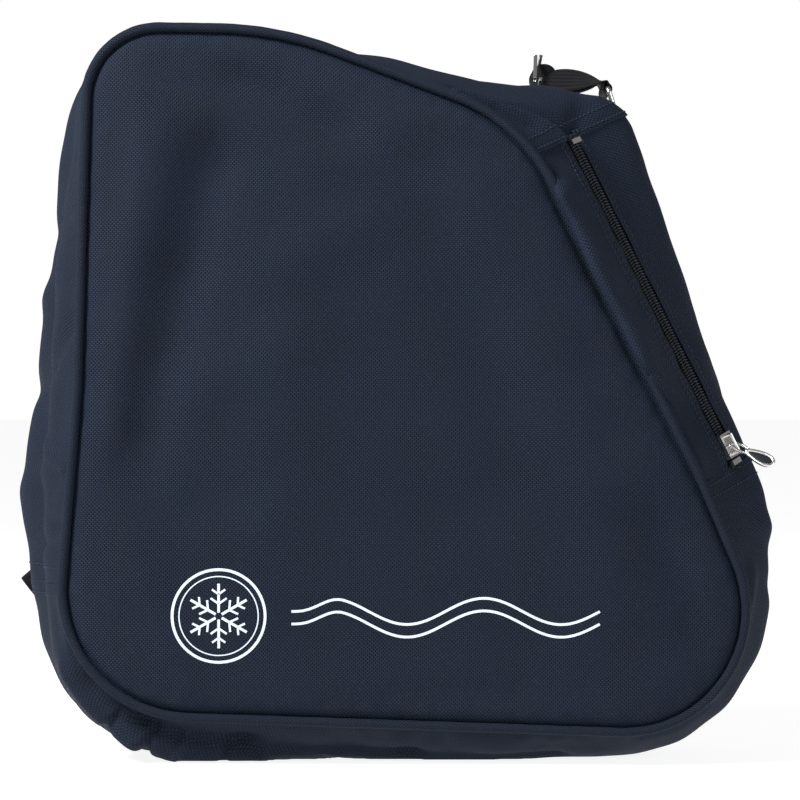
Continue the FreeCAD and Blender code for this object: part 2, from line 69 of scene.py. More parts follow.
def grid_mesh(name, points, wrap_u=False, wrap_v=False, uv=None, caps=False, flip=False):
    """Mesh whose faces join each grid point to its neighbours along both directions.

    Where a direction wraps, the last row joins the first. uv is the same grid in
    millimetres of cloth, one row longer in each direction that wraps. caps closes
    both ends of a tube with one face each.
    """
    rows, cols = points.shape[:2]
    i = np.arange(rows if wrap_u else rows - 1)[:, None]
    j = np.arange(cols if wrap_v else cols - 1)[None, :]
    i2, j2 = (i + 1) % rows, (j + 1) % cols
    corners = [(i, j), (i2, j), (i2, j2), (i, j2)]
    faces = np.stack([a * cols + b + 0 * i + 0 * j for a, b in corners], -1).reshape(-1, 4)
    step = [(i, j), (i + 1, j), (i + 1, j + 1), (i, j + 1)]
    if flip:
        faces, step = faces[:, ::-1], step[::-1]
    polygons = faces.tolist()
    if caps:
        first = list(range(cols))
        last = [(rows - 1) * cols + k for k in range(cols)]
        polygons += [first if flip else first[::-1], last[::-1] if flip else last]
    thing = new_piece(name, points, polygons)
    if uv is not None:
        layer = thing.data.uv_layers.new(name="cut")
        laid = np.stack([uv[a + 0 * j, b + 0 * i] for a, b in step], 2).reshape(-1, 2)
        full = np.zeros((len(thing.data.loops), 2))
        full[: len(laid)] = laid * MM
        layer.data.foreach_set("uv", full.ravel())
    return thing


print("one unit of a grid is", MM, "metres")


# %% [markdown]
# Both panels are cut to one outline. It is a polygon with rounded corners: a heel side
# that is nearly upright, a long slope for the zip, and a base. The band bulges between
# the seams, so it has outlines of its own at several depths. The tables give each
# corner's x, z and radius, the way a pattern maker would note them.

# %% Outlines of the panels and of the band between them
SLOPE = math.hypot(1.0, 2.0)
DOWN = np.array([1.0, -2.0]) / SLOPE  # along the slope, in the front view
OUT = np.array([2.0, 1.0]) / SLOPE  # away from it
SEAM = 228.0  # the slope seam's distance from the origin
SEAM_Y = 60.0
ZIP_Y = -30.0
ZIP_OUT = 24.0


def on_slope(down, out):
    """Front-view point at a distance down the slope and out from its seam."""
    return tuple(DOWN * down + OUT * (SEAM + out))


PANEL = [
    (-200.0, 31.0, 74.0),
    (236.0, 16.0, 70.0),
    on_slope(-72.0, 0.0) + (200.0,),
    on_slope(-300.0, 0.0) + (105.0,),
    (-70.0, 423.0, 200.0),
    (-179.0, 425.0, 42.0),
    (-185.0, 215.0, 400.0),
]
AT_ZIP = [
    (-204.0, 0.0, 84.0),
    (226.0, 0.0, 100.0),
    on_slope(-50.0, ZIP_OUT) + (100.0,),
    on_slope(-298.0, ZIP_OUT) + (36.0,),
    (-66.0, 423.0, 200.0),
    (-187.0, 427.0, 50.0),
    (-208.0, 165.0, 120.0),
]
WIDEST = [
    (-206.0, 0.0, 96.0),
    (219.0, 0.0, 100.0),
    on_slope(-52.0, 31.0) + (100.0,),
    on_slope(-287.0, 62.0) + (30.0,),
    (-60.0, 418.0, 200.0),
    (-192.0, 427.0, 60.0),
    (-222.0, 145.0, 100.0),
]
AT_BACK = [
    (-208.0, 0.0, 78.0),
    (222.0, 0.0, 88.0),
    on_slope(-52.0, 30.0) + (100.0,),
    on_slope(-297.0, 50.0) + (45.0,),
    (-62.0, 416.0, 200.0),
    (-190.0, 426.0, 56.0),
    (-216.0, 145.0, 100.0),
]


print("the panel has", len(PANEL), "corners, and each outline of the band as many")

# %% [markdown]
# A corner is rounded with a circular arc that touches both of its sides, since that is
# how a pattern is drawn with a compass. The points are then set out again in even
# steps, so that a share of the line is a share of its length.

# %% Rounding the corners
ARC_STEPS, LINE_STEPS = 40, 2400


def run(line):
    """Distance along a line at each of its points: the running sum of its steps."""
    return np.concatenate([[0], np.cumsum(np.linalg.norm(np.diff(line, axis=0), axis=1))])


def unit(v):
    """Each vector divided by its own length."""
    return v / np.linalg.norm(v, axis=-1, keepdims=True)


def rounded(corners):
    """Closed line through rounded corners: each is a circular arc between its sides."""
    c = np.array(corners)
    p, radius = c[:, :2], c[:, 2]
    into = unit(p - np.roll(p, 1, 0))
    away = np.roll(into, -1, 0)
    turn = np.arctan2(into[:, 0] * away[:, 1] - into[:, 1] * away[:, 0], (into * away).sum(1))
    side = np.stack([-into[:, 1], into[:, 0]], -1) * np.sign(turn)[:, None]
    turn = np.abs(turn)
    cut = radius * np.tan(turn / 2)
    middle = p - into * cut[:, None] + side * radius[:, None]
    a = np.linspace(0, 1, ARC_STEPS)[None, :] * turn[:, None]
    arm = -side[:, None] * np.cos(a)[..., None] + into[:, None] * np.sin(a)[..., None]
    arcs = middle[:, None] + arm * radius[:, None, None]
    return even(arcs.reshape(-1, 2), LINE_STEPS, closed=True)


def even(line, count, closed=False):
    """The same line with points at equal steps along it."""
    if closed:
        line = np.concatenate([line, line[:1]])
    d = run(line)
    s = np.linspace(0, d[-1], count + 1)[:-1] if closed else np.linspace(0, d[-1], count)
    return np.stack([np.interp(s, d, line[:, k]) for k in range(line.shape[1])], -1)


def moved_in(corners, by):
    """The outline with every side moved inwards by a distance."""
    line = rounded(corners)
    t = unit(np.roll(line, -1, 0) - np.roll(line, 1, 0))
    return line + np.stack([-t[:, 1], t[:, 0]], -1) * by


panel_line = rounded(PANEL)
seam_length = np.linalg.norm(np.diff(panel_line, axis=0), axis=1).sum()
print("each panel seam is", round(seam_length), "mm round")

# %% [markdown]
# Nothing sewn is perfectly even. Two helpers add that: broad swells made of a few
# crossing waves, and folds that follow a line. Both are plain sums of smooth
# functions, so they can be added to any surface without breaking it.

# %% Swells and folds
WAVES = 9


def swell(points, size, seed):
    """Sum of sine waves in random directions, scaled to about plus or minus one."""
    rng = np.random.default_rng(seed)
    way = unit(rng.normal(size=(WAVES, points.shape[-1])))
    pace = 2 * math.pi / (size * rng.uniform(0.7, 1.5, WAVES))
    start = rng.uniform(0, 2 * math.pi, WAVES)
    return np.sin((points @ way.T) * pace + start).sum(-1) / math.sqrt(WAVES)


def fold(points, a, b, width, lean=0.0):
    """One along the line from a to b, falling off to the sides and past both ends.

    The fall to each side is a bell curve of the given width; lean makes the side to
    the right of the line steeper, as a fold of real cloth has a tight and a slack side.
    """
    a, b = np.array(a, float), np.array(b, float)
    along = b - a
    long = np.linalg.norm(along)
    along = along / long
    rel = points - a
    s = rel @ along
    if points.shape[-1] == 2:
        off = rel[..., 0] * along[1] - rel[..., 1] * along[0]
    else:
        off = np.linalg.norm(rel - s[..., None] * along, axis=-1)
    w = width * np.where(off > 0, 1.0 - lean, 1.0 + lean)
    ends = np.clip(s, 0, long) - s
    return np.exp(-((off / w) ** 2)) * np.exp(-((ends / (width * 1.6)) ** 2))


def smooth(x):
    """Zero below nought, one above one, and an easy curve between."""
    x = np.clip(x, 0, 1)
    return x * x * (3 - 2 * x)


print("each swell is made of", WAVES, "waves")

# %% [markdown]
# A row of points across the band is a curve through a few known points. A natural
# cubic spline is the line a thin bent batten would take through them, which is close
# to what stiff cloth does, so it is used for every curved section here.

# %% Curves through known points
def natural(knots, values, at):
    """Natural cubic spline: value and slope are continuous, and the ends don't bend.

    The bending at each knot solves a small system of equations, one per knot, that
    makes the slopes agree on both sides. values may have any shape after the first
    axis, so a whole row of sections is bent at once.
    """
    knots, values, at = np.asarray(knots, float), np.asarray(values, float), np.asarray(at, float)
    n = len(knots)
    h = np.diff(knots)
    lhs = np.eye(n)
    k = np.arange(1, n - 1)
    lhs[k, k - 1], lhs[k, k], lhs[k, k + 1] = h[k - 1], 2 * (h[k - 1] + h[k]), h[k]
    flat = values.reshape(n, -1)
    rise = np.diff(flat, axis=0) / h[:, None]
    rhs = np.zeros_like(flat)
    rhs[1:-1] = 6 * np.diff(rise, axis=0)
    bend = np.linalg.solve(lhs, rhs)
    i = np.clip(np.searchsorted(knots, at, side="right") - 1, 0, n - 2)
    a = (at - knots[i])[:, None]
    b = (knots[i + 1] - at)[:, None]
    hi = h[i][:, None]
    out = (bend[i] * b**3 + bend[i + 1] * a**3) / (6 * hi)
    out += (flat[i] / hi - bend[i] * hi / 6) * b + (flat[i + 1] / hi - bend[i + 1] * hi / 6) * a
    return out.reshape(at.shape + values.shape[1:])


def outward(points):
    """Unit normal at each grid point: the cross product of the two grid directions."""
    n = np.cross(np.gradient(points, axis=0), np.gradient(points, axis=1))
    return n / np.maximum(np.linalg.norm(n, axis=-1), 1e-9)[..., None]


BAG_MIDDLE = np.array([0.0, 0.0, 200.0])


def facing_out(points):
    """Normals of a grid, turned to point away from the bag's middle."""
    n = outward(points)
    return n * np.sign((n * (points - BAG_MIDDLE)).sum(-1).mean())


halfway = natural([0, 1, 2], np.array([[0.0], [1.0], [0.0]]), [0.5])[0, 0]
print("a curve through heights 0, 1 and 0 is at", halfway, "halfway up")

# %% [markdown]
# The zip has a frame of its own: a distance down the slope, a distance across the
# chain towards the back, and a height out of the chain's face. The front half of the
# band leans, so the zip faces forwards and upwards, which is why its teeth show from
# in front. The teeth, the tape and the stitches are all placed in this frame.

# %% The zip's own frame
tilt = np.array([ZIP_OUT - 1.0, ZIP_Y + SEAM_Y - 2.7])
tilt /= np.linalg.norm(tilt)
ACROSS = np.array([OUT[0] * tilt[0], tilt[1], OUT[1] * tilt[0]])
FACING = np.array([OUT[0] * tilt[1], -tilt[0], OUT[1] * tilt[1]])
ALONG = np.array([DOWN[0], 0.0, DOWN[1]])
MIDDLE = np.array([OUT[0] * (SEAM + ZIP_OUT), ZIP_Y, OUT[1] * (SEAM + ZIP_OUT)])
SLOT = 5.9  # from the chain's middle to each cloth edge
TOP, LOW = -281.0, -66.0  # the cross seams at both ends of the zip
MOUTH = (-258.0, -88.0)  # the part that opens


def at_zip(down, across, height):
    """Point in the zip's frame; the three lengths may be arrays of one shape."""
    down, across, height = np.broadcast_arrays(down, across, height)
    return MIDDLE + down[..., None] * ALONG + across[..., None] * ACROSS + height[..., None] * FACING


print("the zip leans", round(math.degrees(math.atan2(tilt[0], tilt[1]))), "degrees from the front")

# %% [markdown]
# The band goes round the bag in three pieces, as it is cut on a real one: a strip
# each side of the zip, a long piece over the top and down the heel, and a piece under
# the base and up the toe. The seams between them are found on each outline, and a
# piece takes its share of every outline in even steps, so its grid lines run straight
# across the band from one piped seam to the other.

# %% Sections of the band
HEEL_SEAM = 104.0  # its height
BEHIND = 16.5  # from the zip's middle to the next outline, across the chain
LEVELS = [-57.3, ZIP_Y, ZIP_Y + BEHIND * tilt[1], 0.0, 36.0, 57.3]
behind = [c if i not in (2, 3) else on_slope(DOWN @ c[:2], ZIP_OUT + BEHIND * tilt[0]) + c[2:]
          for i, c in enumerate(AT_ZIP)]
rings = [moved_in(PANEL, -1.0), rounded(AT_ZIP), rounded(behind),
         rounded(WIDEST), rounded(AT_BACK), moved_in(PANEL, -1.0)]


def crossing(line, values, near):
    """Place along a closed line where values change sign, nearest to a point."""
    change = np.where(values * np.roll(values, -1) <= 0)[0]
    best = change[np.argmin(np.linalg.norm(line[change] - near, axis=1))]
    a, b = values[best], values[(best + 1) % len(line)]
    return best + a / (a - b)


def stretch(line, start, stop, share):
    """Points at shares of the way round a closed line, from start to stop."""
    at = start + ((stop - start) % len(line)) * share
    base = np.floor(at).astype(int)
    f = (at - base)[:, None]
    return line[base % len(line)] * (1 - f) + line[(base + 1) % len(line)] * f


def landmarks(line, top, low):
    """Where an outline meets the heel seam and the two cross seams of the zip."""
    return (
        crossing(line, line[:, 1] - HEEL_SEAM, np.array([-200.0, HEEL_SEAM])),
        crossing(line, line @ DOWN - low, np.array(on_slope(low, 10.0))),
        crossing(line, line @ DOWN - top, np.array(on_slope(top, 10.0))),
    )


def sections(which, share, top, low):
    """The six outlines' points for one piece of the band, as (level, share, xyz)."""
    rows = []
    for line, y in zip(rings, LEVELS):
        heel_at, low_at, top_at = landmarks(line, top, low)
        start, stop = {"base": (heel_at, low_at), "slope": (low_at, top_at),
                       "heel": (top_at, heel_at)}[which]
        xz = stretch(line, start, stop, share)
        rows.append(np.stack([xz[:, 0], np.full(len(share), y), xz[:, 1]], -1))
    return np.array(rows)


ACROSS_STEPS = 160


def across_even(points, count):
    """Sections bent through their known points, then set out in even steps across."""
    rough = [0.0]
    for a, b in zip(points, points[1:]):
        rough.append(rough[-1] + np.linalg.norm(b - a, axis=-1).mean())
    fine = natural(rough, points, np.linspace(0, rough[-1], ACROSS_STEPS))
    d = np.linalg.norm(np.diff(fine, axis=0), axis=-1).mean(1)
    d = np.concatenate([[0], np.cumsum(d)])
    at = np.interp(np.linspace(0, d[-1], count), d, np.arange(ACROSS_STEPS))
    i = np.clip(at.astype(int), 0, ACROSS_STEPS - 2)
    f = (at - i)[:, None, None]
    return (fine[i] * (1 - f) + fine[i + 1] * f).transpose(1, 0, 2)


FINE = 2
print("the band is bent through", len(rings), "outlines; grids are", FINE, "times the quick ones")

# %% [markdown]
# Sewn cloth shows where it is held. Along a piped seam the stitches gather it into
# small puckers, in the middle it swells and sags, and where a bag has been folded flat
# for selling it keeps creases. Each is added along the cloth's own normal. The
# puckers are waves along the seam that die out within two centimetres of it.

# %% Wrinkles on the band
def pucker(points, seam_share, side_length, seed):
    """Waves along the seam, made uneven by a slow swell and fading away from it."""
    wave = swell(points * np.array([1, 0.25, 1]), 13.0, seed) * (0.6 + 0.4 * swell(points, 90.0, seed + 1))
    near = np.minimum(seam_share, 1 - seam_share) * side_length
    return wave * smooth(near / 3.0) * np.exp(-near / 10.0)


CREASES = [  # from, to, width, height: a height below nought is a hollow
    ((-30, -50, 414), (34, -46, 400), 6.0, 1.8),
    ((-206, -50, 330), (-214, 30, 300), 8.0, 3.0),
    ((-206, -48, 292), (-218, 34, 262), 9.0, -3.2),
    ((-206, -52, 232), (-222, 20, 214), 8.0, 3.2),
    ((-206, -48, 176), (-222, 30, 150), 9.0, -3.0),
    ((214, -50, 148), (220, 40, 116), 8.0, -3.2),
    ((222, -52, 112), (222, 36, 84), 8.0, 2.8),
    ((-160, -40, 424), (-70, -20, 424), 10.0, -2.0),
    ((60, 10, 398), (110, 40, 370), 8.0, 2.6),
    ((-190, 30, 60), (-150, 44, 10), 8.0, 2.4),
    ((120, 40, 6), (190, 30, 14), 8.0, 2.2),
]
FOLDED = {  # in the flat cut: from, to, width, height and lean; the front seam is at nought
    "base": [
        ((42, 4), (70, 8), 4.0, 4.0, -0.4), ((70, 8), (112, 10), 4.2, 5.6, -0.5),
        ((112, 10), (180, 18), 4.6, 5.4, -0.5), ((180, 18), (285, 27), 5.2, 3.8, -0.4),
        ((285, 27), (372, 29), 5.0, 2.8, -0.3), ((58, 18), (118, 21), 7.0, -5.4, 0.0),
        ((118, 22), (184, 32), 8.0, -4.8, 0.0), ((122, 15), (136, 50), 3.0, 4.8, 0.3),
        ((142, 17), (148, 50), 3.0, -3.2, 0.0), ((172, 22), (184, 54), 3.2, 4.2, 0.3),
        ((196, 26), (204, 56), 4.0, -2.6, 0.0), ((96, 14), (100, 44), 3.4, 3.0, -0.3),
        ((232, 30), (262, 60), 5.0, 1.8, 0.0), ((430, 6), (470, 22), 5.0, 2.2, 0.2),
        ((520, 8), (560, 24), 6.0, -2.2, 0.0),
    ],
    "heel": [
        ((64, 6), (4, 24), 3.6, -3.8, 0.0), ((68, 14), (8, 33), 4.2, 3.2, 0.3),
        ((40, 4), (20, 12), 4.0, 2.0, 0.0), ((2, 34), (30, 70), 6.0, 2.4, 0.0),
        ((470, 4), (500, 24), 5.0, 2.2, 0.2), ((560, 4), (548, 34), 5.0, -2.2, 0.0),
        ((600, 5), (612, 40), 5.0, 2.4, 0.0),
    ],
}
print(len(CREASES), "creases run over the band, and", len(FOLDED["base"]), "folds are in its base piece")

# %% [markdown]
# The wrinkles are added to the smooth band, and they die out at the ends of each piece
# and at the piped seams, where stitches hold the cloth. Solidify then gives the cloth
# its thickness behind the face that is seen.

# %% The two long pieces of the band
def wrinkled(points, share, side_length, seed, cut, which):
    """The band with puckers, swells and creases added along its normal."""
    n = outward(points)
    held = smooth(np.minimum(share, 1 - share) * side_length / 16.0)
    lift = 1.5 * held * swell(points, 95.0, seed) + 0.5 * held * swell(points, 34.0, seed + 7)
    lift = lift + 0.75 * pucker(points, share, side_length, seed + 3)
    for a, b, width, height in CREASES:
        lift = lift + height * held**0.3 * fold(points, a, b, width)
    ends = cut[..., 0]
    lift = lift * smooth(np.minimum(ends, ends.max() - ends) / 22.0)
    edge = smooth(np.minimum(share, 1 - share) * side_length / 5.0)
    for a, b, width, height, lean in FOLDED[which]:
        lift = lift + height * edge * fold(cut, a, b, width, lean)
    points = points + n * lift[..., None]
    points[..., 2] = np.maximum(points[..., 2], 0.9)
    return points


def thick(obj, inwards):
    """A sheet given the cloth's thickness behind its outer face."""
    m = obj.modifiers.new("thickness", "SOLIDIFY")
    m.thickness = inwards * MM
    m.offset = -1.0
    m.use_even_offset = False
    return obj


def band_piece(name, which, count, top, low, seed):
    """One long piece of the band: sections round it, wrinkled, with its cut as UV."""
    share = np.linspace(0, 1, count)
    known = sections(which, share, top, low)
    points = across_even(known, 28 * FINE + 1)
    side = np.linalg.norm(np.diff(points, axis=1), axis=-1).sum(1).mean()
    across = np.linspace(0, 1, points.shape[1])[None, :] * np.ones((count, 1))
    long = np.linalg.norm(np.diff(points[:, points.shape[1] // 2], axis=0), axis=-1).sum()
    uv = np.stack(np.meshgrid(np.linspace(0, long, count), np.linspace(0, side, points.shape[1]),
                              indexing="ij"), -1)
    points = wrinkled(points, across, side, seed, uv, which)
    print(name, "is cut", round(long), "by", round(side), "mm")
    return thick(grid_mesh(name, points, uv=uv, flip=True), 1.2), points, (long, side)


heel_band, heel_points, heel_cut = band_piece("heel_and_top_band", "heel", 230 * FINE, TOP + 1.5, LOW, 11)
base_band, base_points, base_cut = band_piece("base_and_toe_band", "base", 250 * FINE, TOP, LOW - 1.5, 23)

# %% [markdown]
# Each panel is one flat piece of cloth that is pulled tight by the seam and swells
# between. Its height depends on the distance from the seam, with dents laid on it as
# folds. A formula for the height lets anything printed on the cloth use it too.

# %% The height of a panel
DENT_WIDTH, DENT_DEPTH = 0.8, 2.4  # what the widths and depths below are multiplied by
DENTS = [  # from, to, width, depth; below nought is a hollow
    ((-108, 338), (-143, 196), 21.0, -2.3),
    ((-142, 350), (-168, 214), 20.0, 1.5),
    ((-88, 396), (-36, 368), 17.0, -2.0),
    ((-40, 388), (40, 330), 22.0, 1.3),
    ((-170, 400), (-120, 372), 14.0, 1.3),
    ((-60, 300), (-66, 150), 30.0, 1.1),
    ((20, 320), (60, 190), 26.0, -1.3),
    ((84, 250), (120, 120), 26.0, 1.1),
    ((150, 130), (180, 60), 16.0, -1.2),
    ((-150, 120), (-120, 50), 20.0, 0.9),
    ((-40, 34), (60, 40), 14.0, -1.0),
]


FRONT_SEED = 41  # the print reads the same swells as the panel under it


def edge_distance(xz):
    """Distance from each point to the nearest point of the panel's outline."""
    line = panel_line[::3]
    rows = xz.reshape(-1, 2)
    parts = np.array_split(rows, max(1, len(rows) // 800))
    near = [np.sqrt(((p[:, None] - line[None]) ** 2).sum(-1).min(1)) for p in parts]
    return np.concatenate(near).reshape(xz.shape[:-1])


def panel_rise(xz, seed):
    """How far a panel stands out from its seam: a quick rise, swells, dents, puckers.

    The rise is one less a falling exponential of the distance from the seam, so the
    cloth starts steep beside the piping and flattens towards the middle.
    """
    d = edge_distance(xz)
    rise = 7.2 * (1 - np.exp(-np.maximum(d - 1.6, 0) / 8.0)) + 1.4 * smooth(d / 120.0)
    rise = rise - 1.7 * np.exp(-(((d - 3.4) / 2.0) ** 2))
    down, out = xz @ DOWN, xz @ OUT - SEAM
    beside = smooth((down + 285) / 40) * smooth((-40 - down) / 60) * np.exp(-np.maximum(-out, 0) / 11.0)
    rise = rise - 3.6 * beside * smooth((d - 2.0) / 4.0)
    calm = smooth(d / 34.0)
    rise = rise + calm * (0.8 * swell(xz, 120.0, seed) + 0.42 * swell(xz, 46.0, seed + 1))
    for a, b, width, depth in DENTS:
        rise = rise + DENT_DEPTH * calm * depth * fold(xz, a, b, DENT_WIDTH * width)
    gather = swell(xz, 15.0, seed + 2) * np.exp(-d / 9.0) * smooth((d - 2) / 4.0)
    return rise + 0.55 * gather


def panel_y(xz, side, seed):
    """The y of a panel's outer face at points of the front view."""
    return side * (SEAM_Y - 0.9 + panel_rise(xz, seed))


print("the front panel stands out", round(float(panel_rise(np.array([[0.0, 200.0]]), FRONT_SEED)[0]), 1),
      "mm at its middle")

# %% [markdown]
# The panel's grid is a Coons patch: the outline is cut into four sides, and each inner
# point is the sum of the two straight blends between opposite sides, less the blend of
# the four corners. The weave stays undistorted because the UV is the flat cut itself.

# %% The two panels
def coons(line, corners, count):
    """Grid inside a closed line: the blends of opposite sides, less the corner blend."""
    a, b, c, d = corners
    u = np.linspace(0, 1, count)
    south, east = stretch(line, a, b, u), stretch(line, b, c, u)
    north, west = stretch(line, c, d, u)[::-1], stretch(line, d, a, u)[::-1]
    s, t = u[:, None, None], u[None, :, None]
    grid = (1 - t) * south[:, None] + t * north[:, None] + (1 - s) * west[None] + s * east[None]
    flat = (1 - s) * (1 - t) * line[a] + s * (1 - t) * line[b] + s * t * line[c] + (1 - s) * t * line[d]
    return grid - flat


cut_line = moved_in(PANEL, 1.9)
corner_at = [int(np.argmin(cut_line @ np.array(w))) for w in ((1, 1), (-1, 1.2), (-0.75, -1), (1, -1))]
panel_grid = coons(cut_line, corner_at, 108 * FINE)
panels = {}
for side, name, seed in ((-1, "front_panel_cloth", FRONT_SEED), (1, "back_panel_cloth", 67)):
    y = panel_y(panel_grid, side, seed)
    points = np.stack([panel_grid[..., 0], y, panel_grid[..., 1]], -1)
    panels[side] = thick(grid_mesh(name, points, uv=panel_grid, flip=side > 0), 1.0)

# %% [markdown]
# Piping is a cord wrapped in a folded strip of the same cloth and caught in the seam,
# so it keeps the edge crisp and takes the wear. Its surface is swept: every point of
# a small circle follows the outline, moved inwards by its own distance. The cord is
# joined once, at the base, where the cover is pinched. The raw edges inside the seam
# are wrapped in a woven tape, swept in the same way from a flat section.

# %% Piping and the tape inside the seams
def swept(name, section, side, ripple=0.0, seed=0):
    """Closed tube along the panel's outline, from its section's (inwards, y) points."""
    rings_in = [moved_in(PANEL, d)[:: 4 if FINE > 1 else 8] for d, _ in section]
    points = np.array([[(p[0], 0.0, p[1]) for p in ring] for ring in rings_in])
    points[..., 1] = section[:, 1][:, None]
    points = points.transpose(1, 0, 2)
    if ripple:
        middle = points.mean(1, keepdims=True)
        grow = 1 + ripple * swell(points, 7.0, seed) + 0.5 * ripple * swell(points, 40.0, seed + 1)
        joint = np.linalg.norm(middle - np.array([26.0, side * SEAM_Y, 26.0]), axis=-1)
        grow = grow - 0.16 * np.exp(-((joint / 1.3) ** 2))
        points = middle + (points - middle) * grow[..., None]
    around = np.concatenate([[0], np.cumsum(np.linalg.norm(np.roll(section, -1, 0) - section, axis=1))])
    length = np.linspace(0, seam_length, len(points) + 1)
    uv = np.stack(np.meshgrid(length, around, indexing="ij"), -1)
    return grid_mesh(name, points, wrap_u=True, wrap_v=True, uv=uv, flip=side > 0)


angle = np.linspace(0, 2 * math.pi, 18 if FINE > 1 else 12, endpoint=False)
piping, bindings = {}, {}
for side, place in ((-1, "front"), (1, "back")):
    turn = side * angle
    circle = np.stack([-2.75 * np.cos(turn), side * SEAM_Y - side * 2.75 * np.sin(turn)], -1)
    piping[side] = swept(place + "_piping_cord", circle, side, 0.022, 5 + side)
    flat = np.stack([6.9 - 3.9 * np.cos(turn), side * 57.0 - side * 1.45 * np.sin(turn) ** 3], -1)
    bindings[side] = swept(place + "_binding_tape", flat, side)
print("the piping is", len(angle), "points round")

# %% [markdown]
# The strip in front of the zip is wider than the gap it fills, so along the slope it
# slumps forwards over the piping and hides it. Its section is a spline through points
# that are blended between a straight run and that soft roll; how much roll there is
# changes along the slope, fading out at both ends where the strip is sewn down.

# %% The strips beside the zip
def down_of(points):
    """How far down the slope each point is."""
    return points[..., 0] * DOWN[0] + points[..., 2] * DOWN[1]


def slope_at(down, out, y):
    """Point given by its distances down the slope and out from its seam."""
    return np.stack([down * DOWN[0] + (SEAM + out) * OUT[0], y + 0 * down,
                     down * DOWN[1] + (SEAM + out) * OUT[1]], -1)


ROLL = [(1.0, -57.3), (4.6, -59.2), (4.2, -63.2), (0.8, -65.0), (-2.6, -66.0),
        (-1.6, -68.2), (4.6, -66.4), (10.4, -56.6), (15.4, -46.0)]
SHARES = [0.0, 0.05, 0.1, 0.15, 0.2, 0.26, 0.42, 0.6, 0.8]
strip_share = np.linspace(0, 1, 130 * FINE)
seam_at = sections("slope", strip_share, TOP - 3, LOW + 3)
strip_down = np.linspace(LOW + 3, TOP - 3, len(strip_share))


def front_strip():
    """The front strip's grid: along the slope, then from the seam to the zip."""
    edge = at_zip(strip_down, -SLOT, 0.0)
    seam = seam_at[0]
    amount = smooth((strip_down + 272) / 22) * smooth((-104 - strip_down) / 46)
    amount = amount * (0.93 + 0.1 * swell(strip_down[:, None], 60.0, 3))
    bow = seam - slope_at(strip_down, 1.0, -57.3)
    known = []
    for share, (out, y) in zip(SHARES, ROLL):
        plain = seam + (edge - seam) * share
        rolled = slope_at(strip_down, out, y) + bow * (1 - share)
        known.append(plain + (rolled - plain) * amount[:, None])
    known.append(edge)
    return across_even(np.array(known), 22 * FINE + 1)


def back_strip():
    """The back strip's grid: along the slope, then from the zip to the back seam."""
    known = [at_zip(strip_down, SLOT, 0.0)] + [seam_at[k] for k in (2, 3, 4, 5)]
    return across_even(np.array(known), 34 * FINE + 1)


print("the front strip's roll is drawn by", len(ROLL), "points")

# %% [markdown]
# Beside the zip the cloth is turned under and topstitched, so it has a raised hem, a
# groove where the stitches pull, and short waves between them. The strip behind the
# zip is looser and has a few deep folds, which are listed one by one.

# %% Waves and folds on the strips
BACK_FOLDS = [  # from, to, width, height
    ((92, -10, 392), (120, 14, 352), 7, 2.6),
    ((132, -14, 322), (150, 30, 286), 10, -2.2),
    ((172, -16, 240), (190, 30, 208), 11, 2.0),
    ((116, -4, 352), (160, 0, 268), 4.5, -2.2),
    ((124, 6, 350), (168, 6, 262), 5, 2.0),
    ((104, -14, 362), (132, 20, 372), 5, -2.6),
    ((108, -16, 350), (146, 22, 352), 6, 2.4),
]


def strip_waves(points, zip_last, seed):
    """Swells in the middle and short waves beside the zip, along the normal."""
    n = facing_out(points)
    side = np.linalg.norm(np.diff(points, axis=1), axis=-1).sum(1).mean()
    share = np.linspace(0, 1, points.shape[1])[None, :]
    from_zip = (1 - share if zip_last else share) * side
    held = smooth(np.minimum(share, 1 - share) * side / 14.0)
    ends = smooth((strip_down - TOP) / 14.0) * smooth((LOW - strip_down) / 14.0)
    lift = held * (swell(points, 80.0, seed) + 0.25 * swell(points, 30.0, seed + 1))
    edge = 0.34 * (1 + swell(points * np.array([1, 0.3, 1]), 17.0, seed + 2)) * np.exp(-from_zip / 9.0)
    hem = 0.7 * np.exp(-(((from_zip - 1.6) / 2.2) ** 2))
    lift = lift + edge + 0.5 * hem - 0.35 * np.exp(-(((from_zip - 4.2) / 1.0) ** 2))
    if not zip_last:
        for a, b, width, height in BACK_FOLDS:
            lift = lift + height * held * fold(points, a, b, width)
    lift = lift * (0.25 + 0.75 * ends[:, None]) - 0.9 * (1 - ends[:, None])
    return points + n * lift[..., None], side


front_points, front_side = strip_waves(front_strip(), True, 83)
back_points, back_side = strip_waves(back_strip(), False, 97)


def strip_piece(name, points, side):
    """A strip as a mesh, with its length down the slope and its width as UV."""
    uv = np.stack(np.meshgrid(-strip_down, np.linspace(0, side, points.shape[1]), indexing="ij"), -1)
    return thick(grid_mesh(name, points, uv=uv, flip=True), 1.0)


front_cloth = strip_piece("front_zip_strip", front_points, front_side)
back_cloth = strip_piece("back_zip_strip", back_points, back_side)
print("the strips are", round(front_side), "and", round(back_side), "mm wide")

# %% [markdown]
# The zip is a nylon coil: one thick thread wound into a flat spiral and sewn along the
# edge of each tape. The two spirals are shifted by half a turn so their loops lock.
# The thread is a tube round a helix with a flattened turn: across is a cosine, height
# a sine, and the place along grows with the angle. A frame fixed to the zip's own
# directions keeps the six-sided tube from twisting.

# %% Tapes and coils of the zip
def tube(name, path, radius, around, up, closed=False):
    """Round tube along a path, with its section turned from a fixed direction."""
    if closed:
        way = np.roll(path, -1, 0) - np.roll(path, 1, 0)
    else:
        way = np.gradient(path, axis=0)
    way = unit(way)
    side = unit(np.cross(way, up))
    other = np.cross(side, way)
    a = np.linspace(0, 2 * math.pi, around, endpoint=False)
    ring = side[:, None] * np.cos(a)[None, :, None] + other[:, None] * np.sin(a)[None, :, None]
    points = path[:, None] + ring * radius
    return grid_mesh(name, points, wrap_u=closed, wrap_v=True, caps=not closed, flip=True)


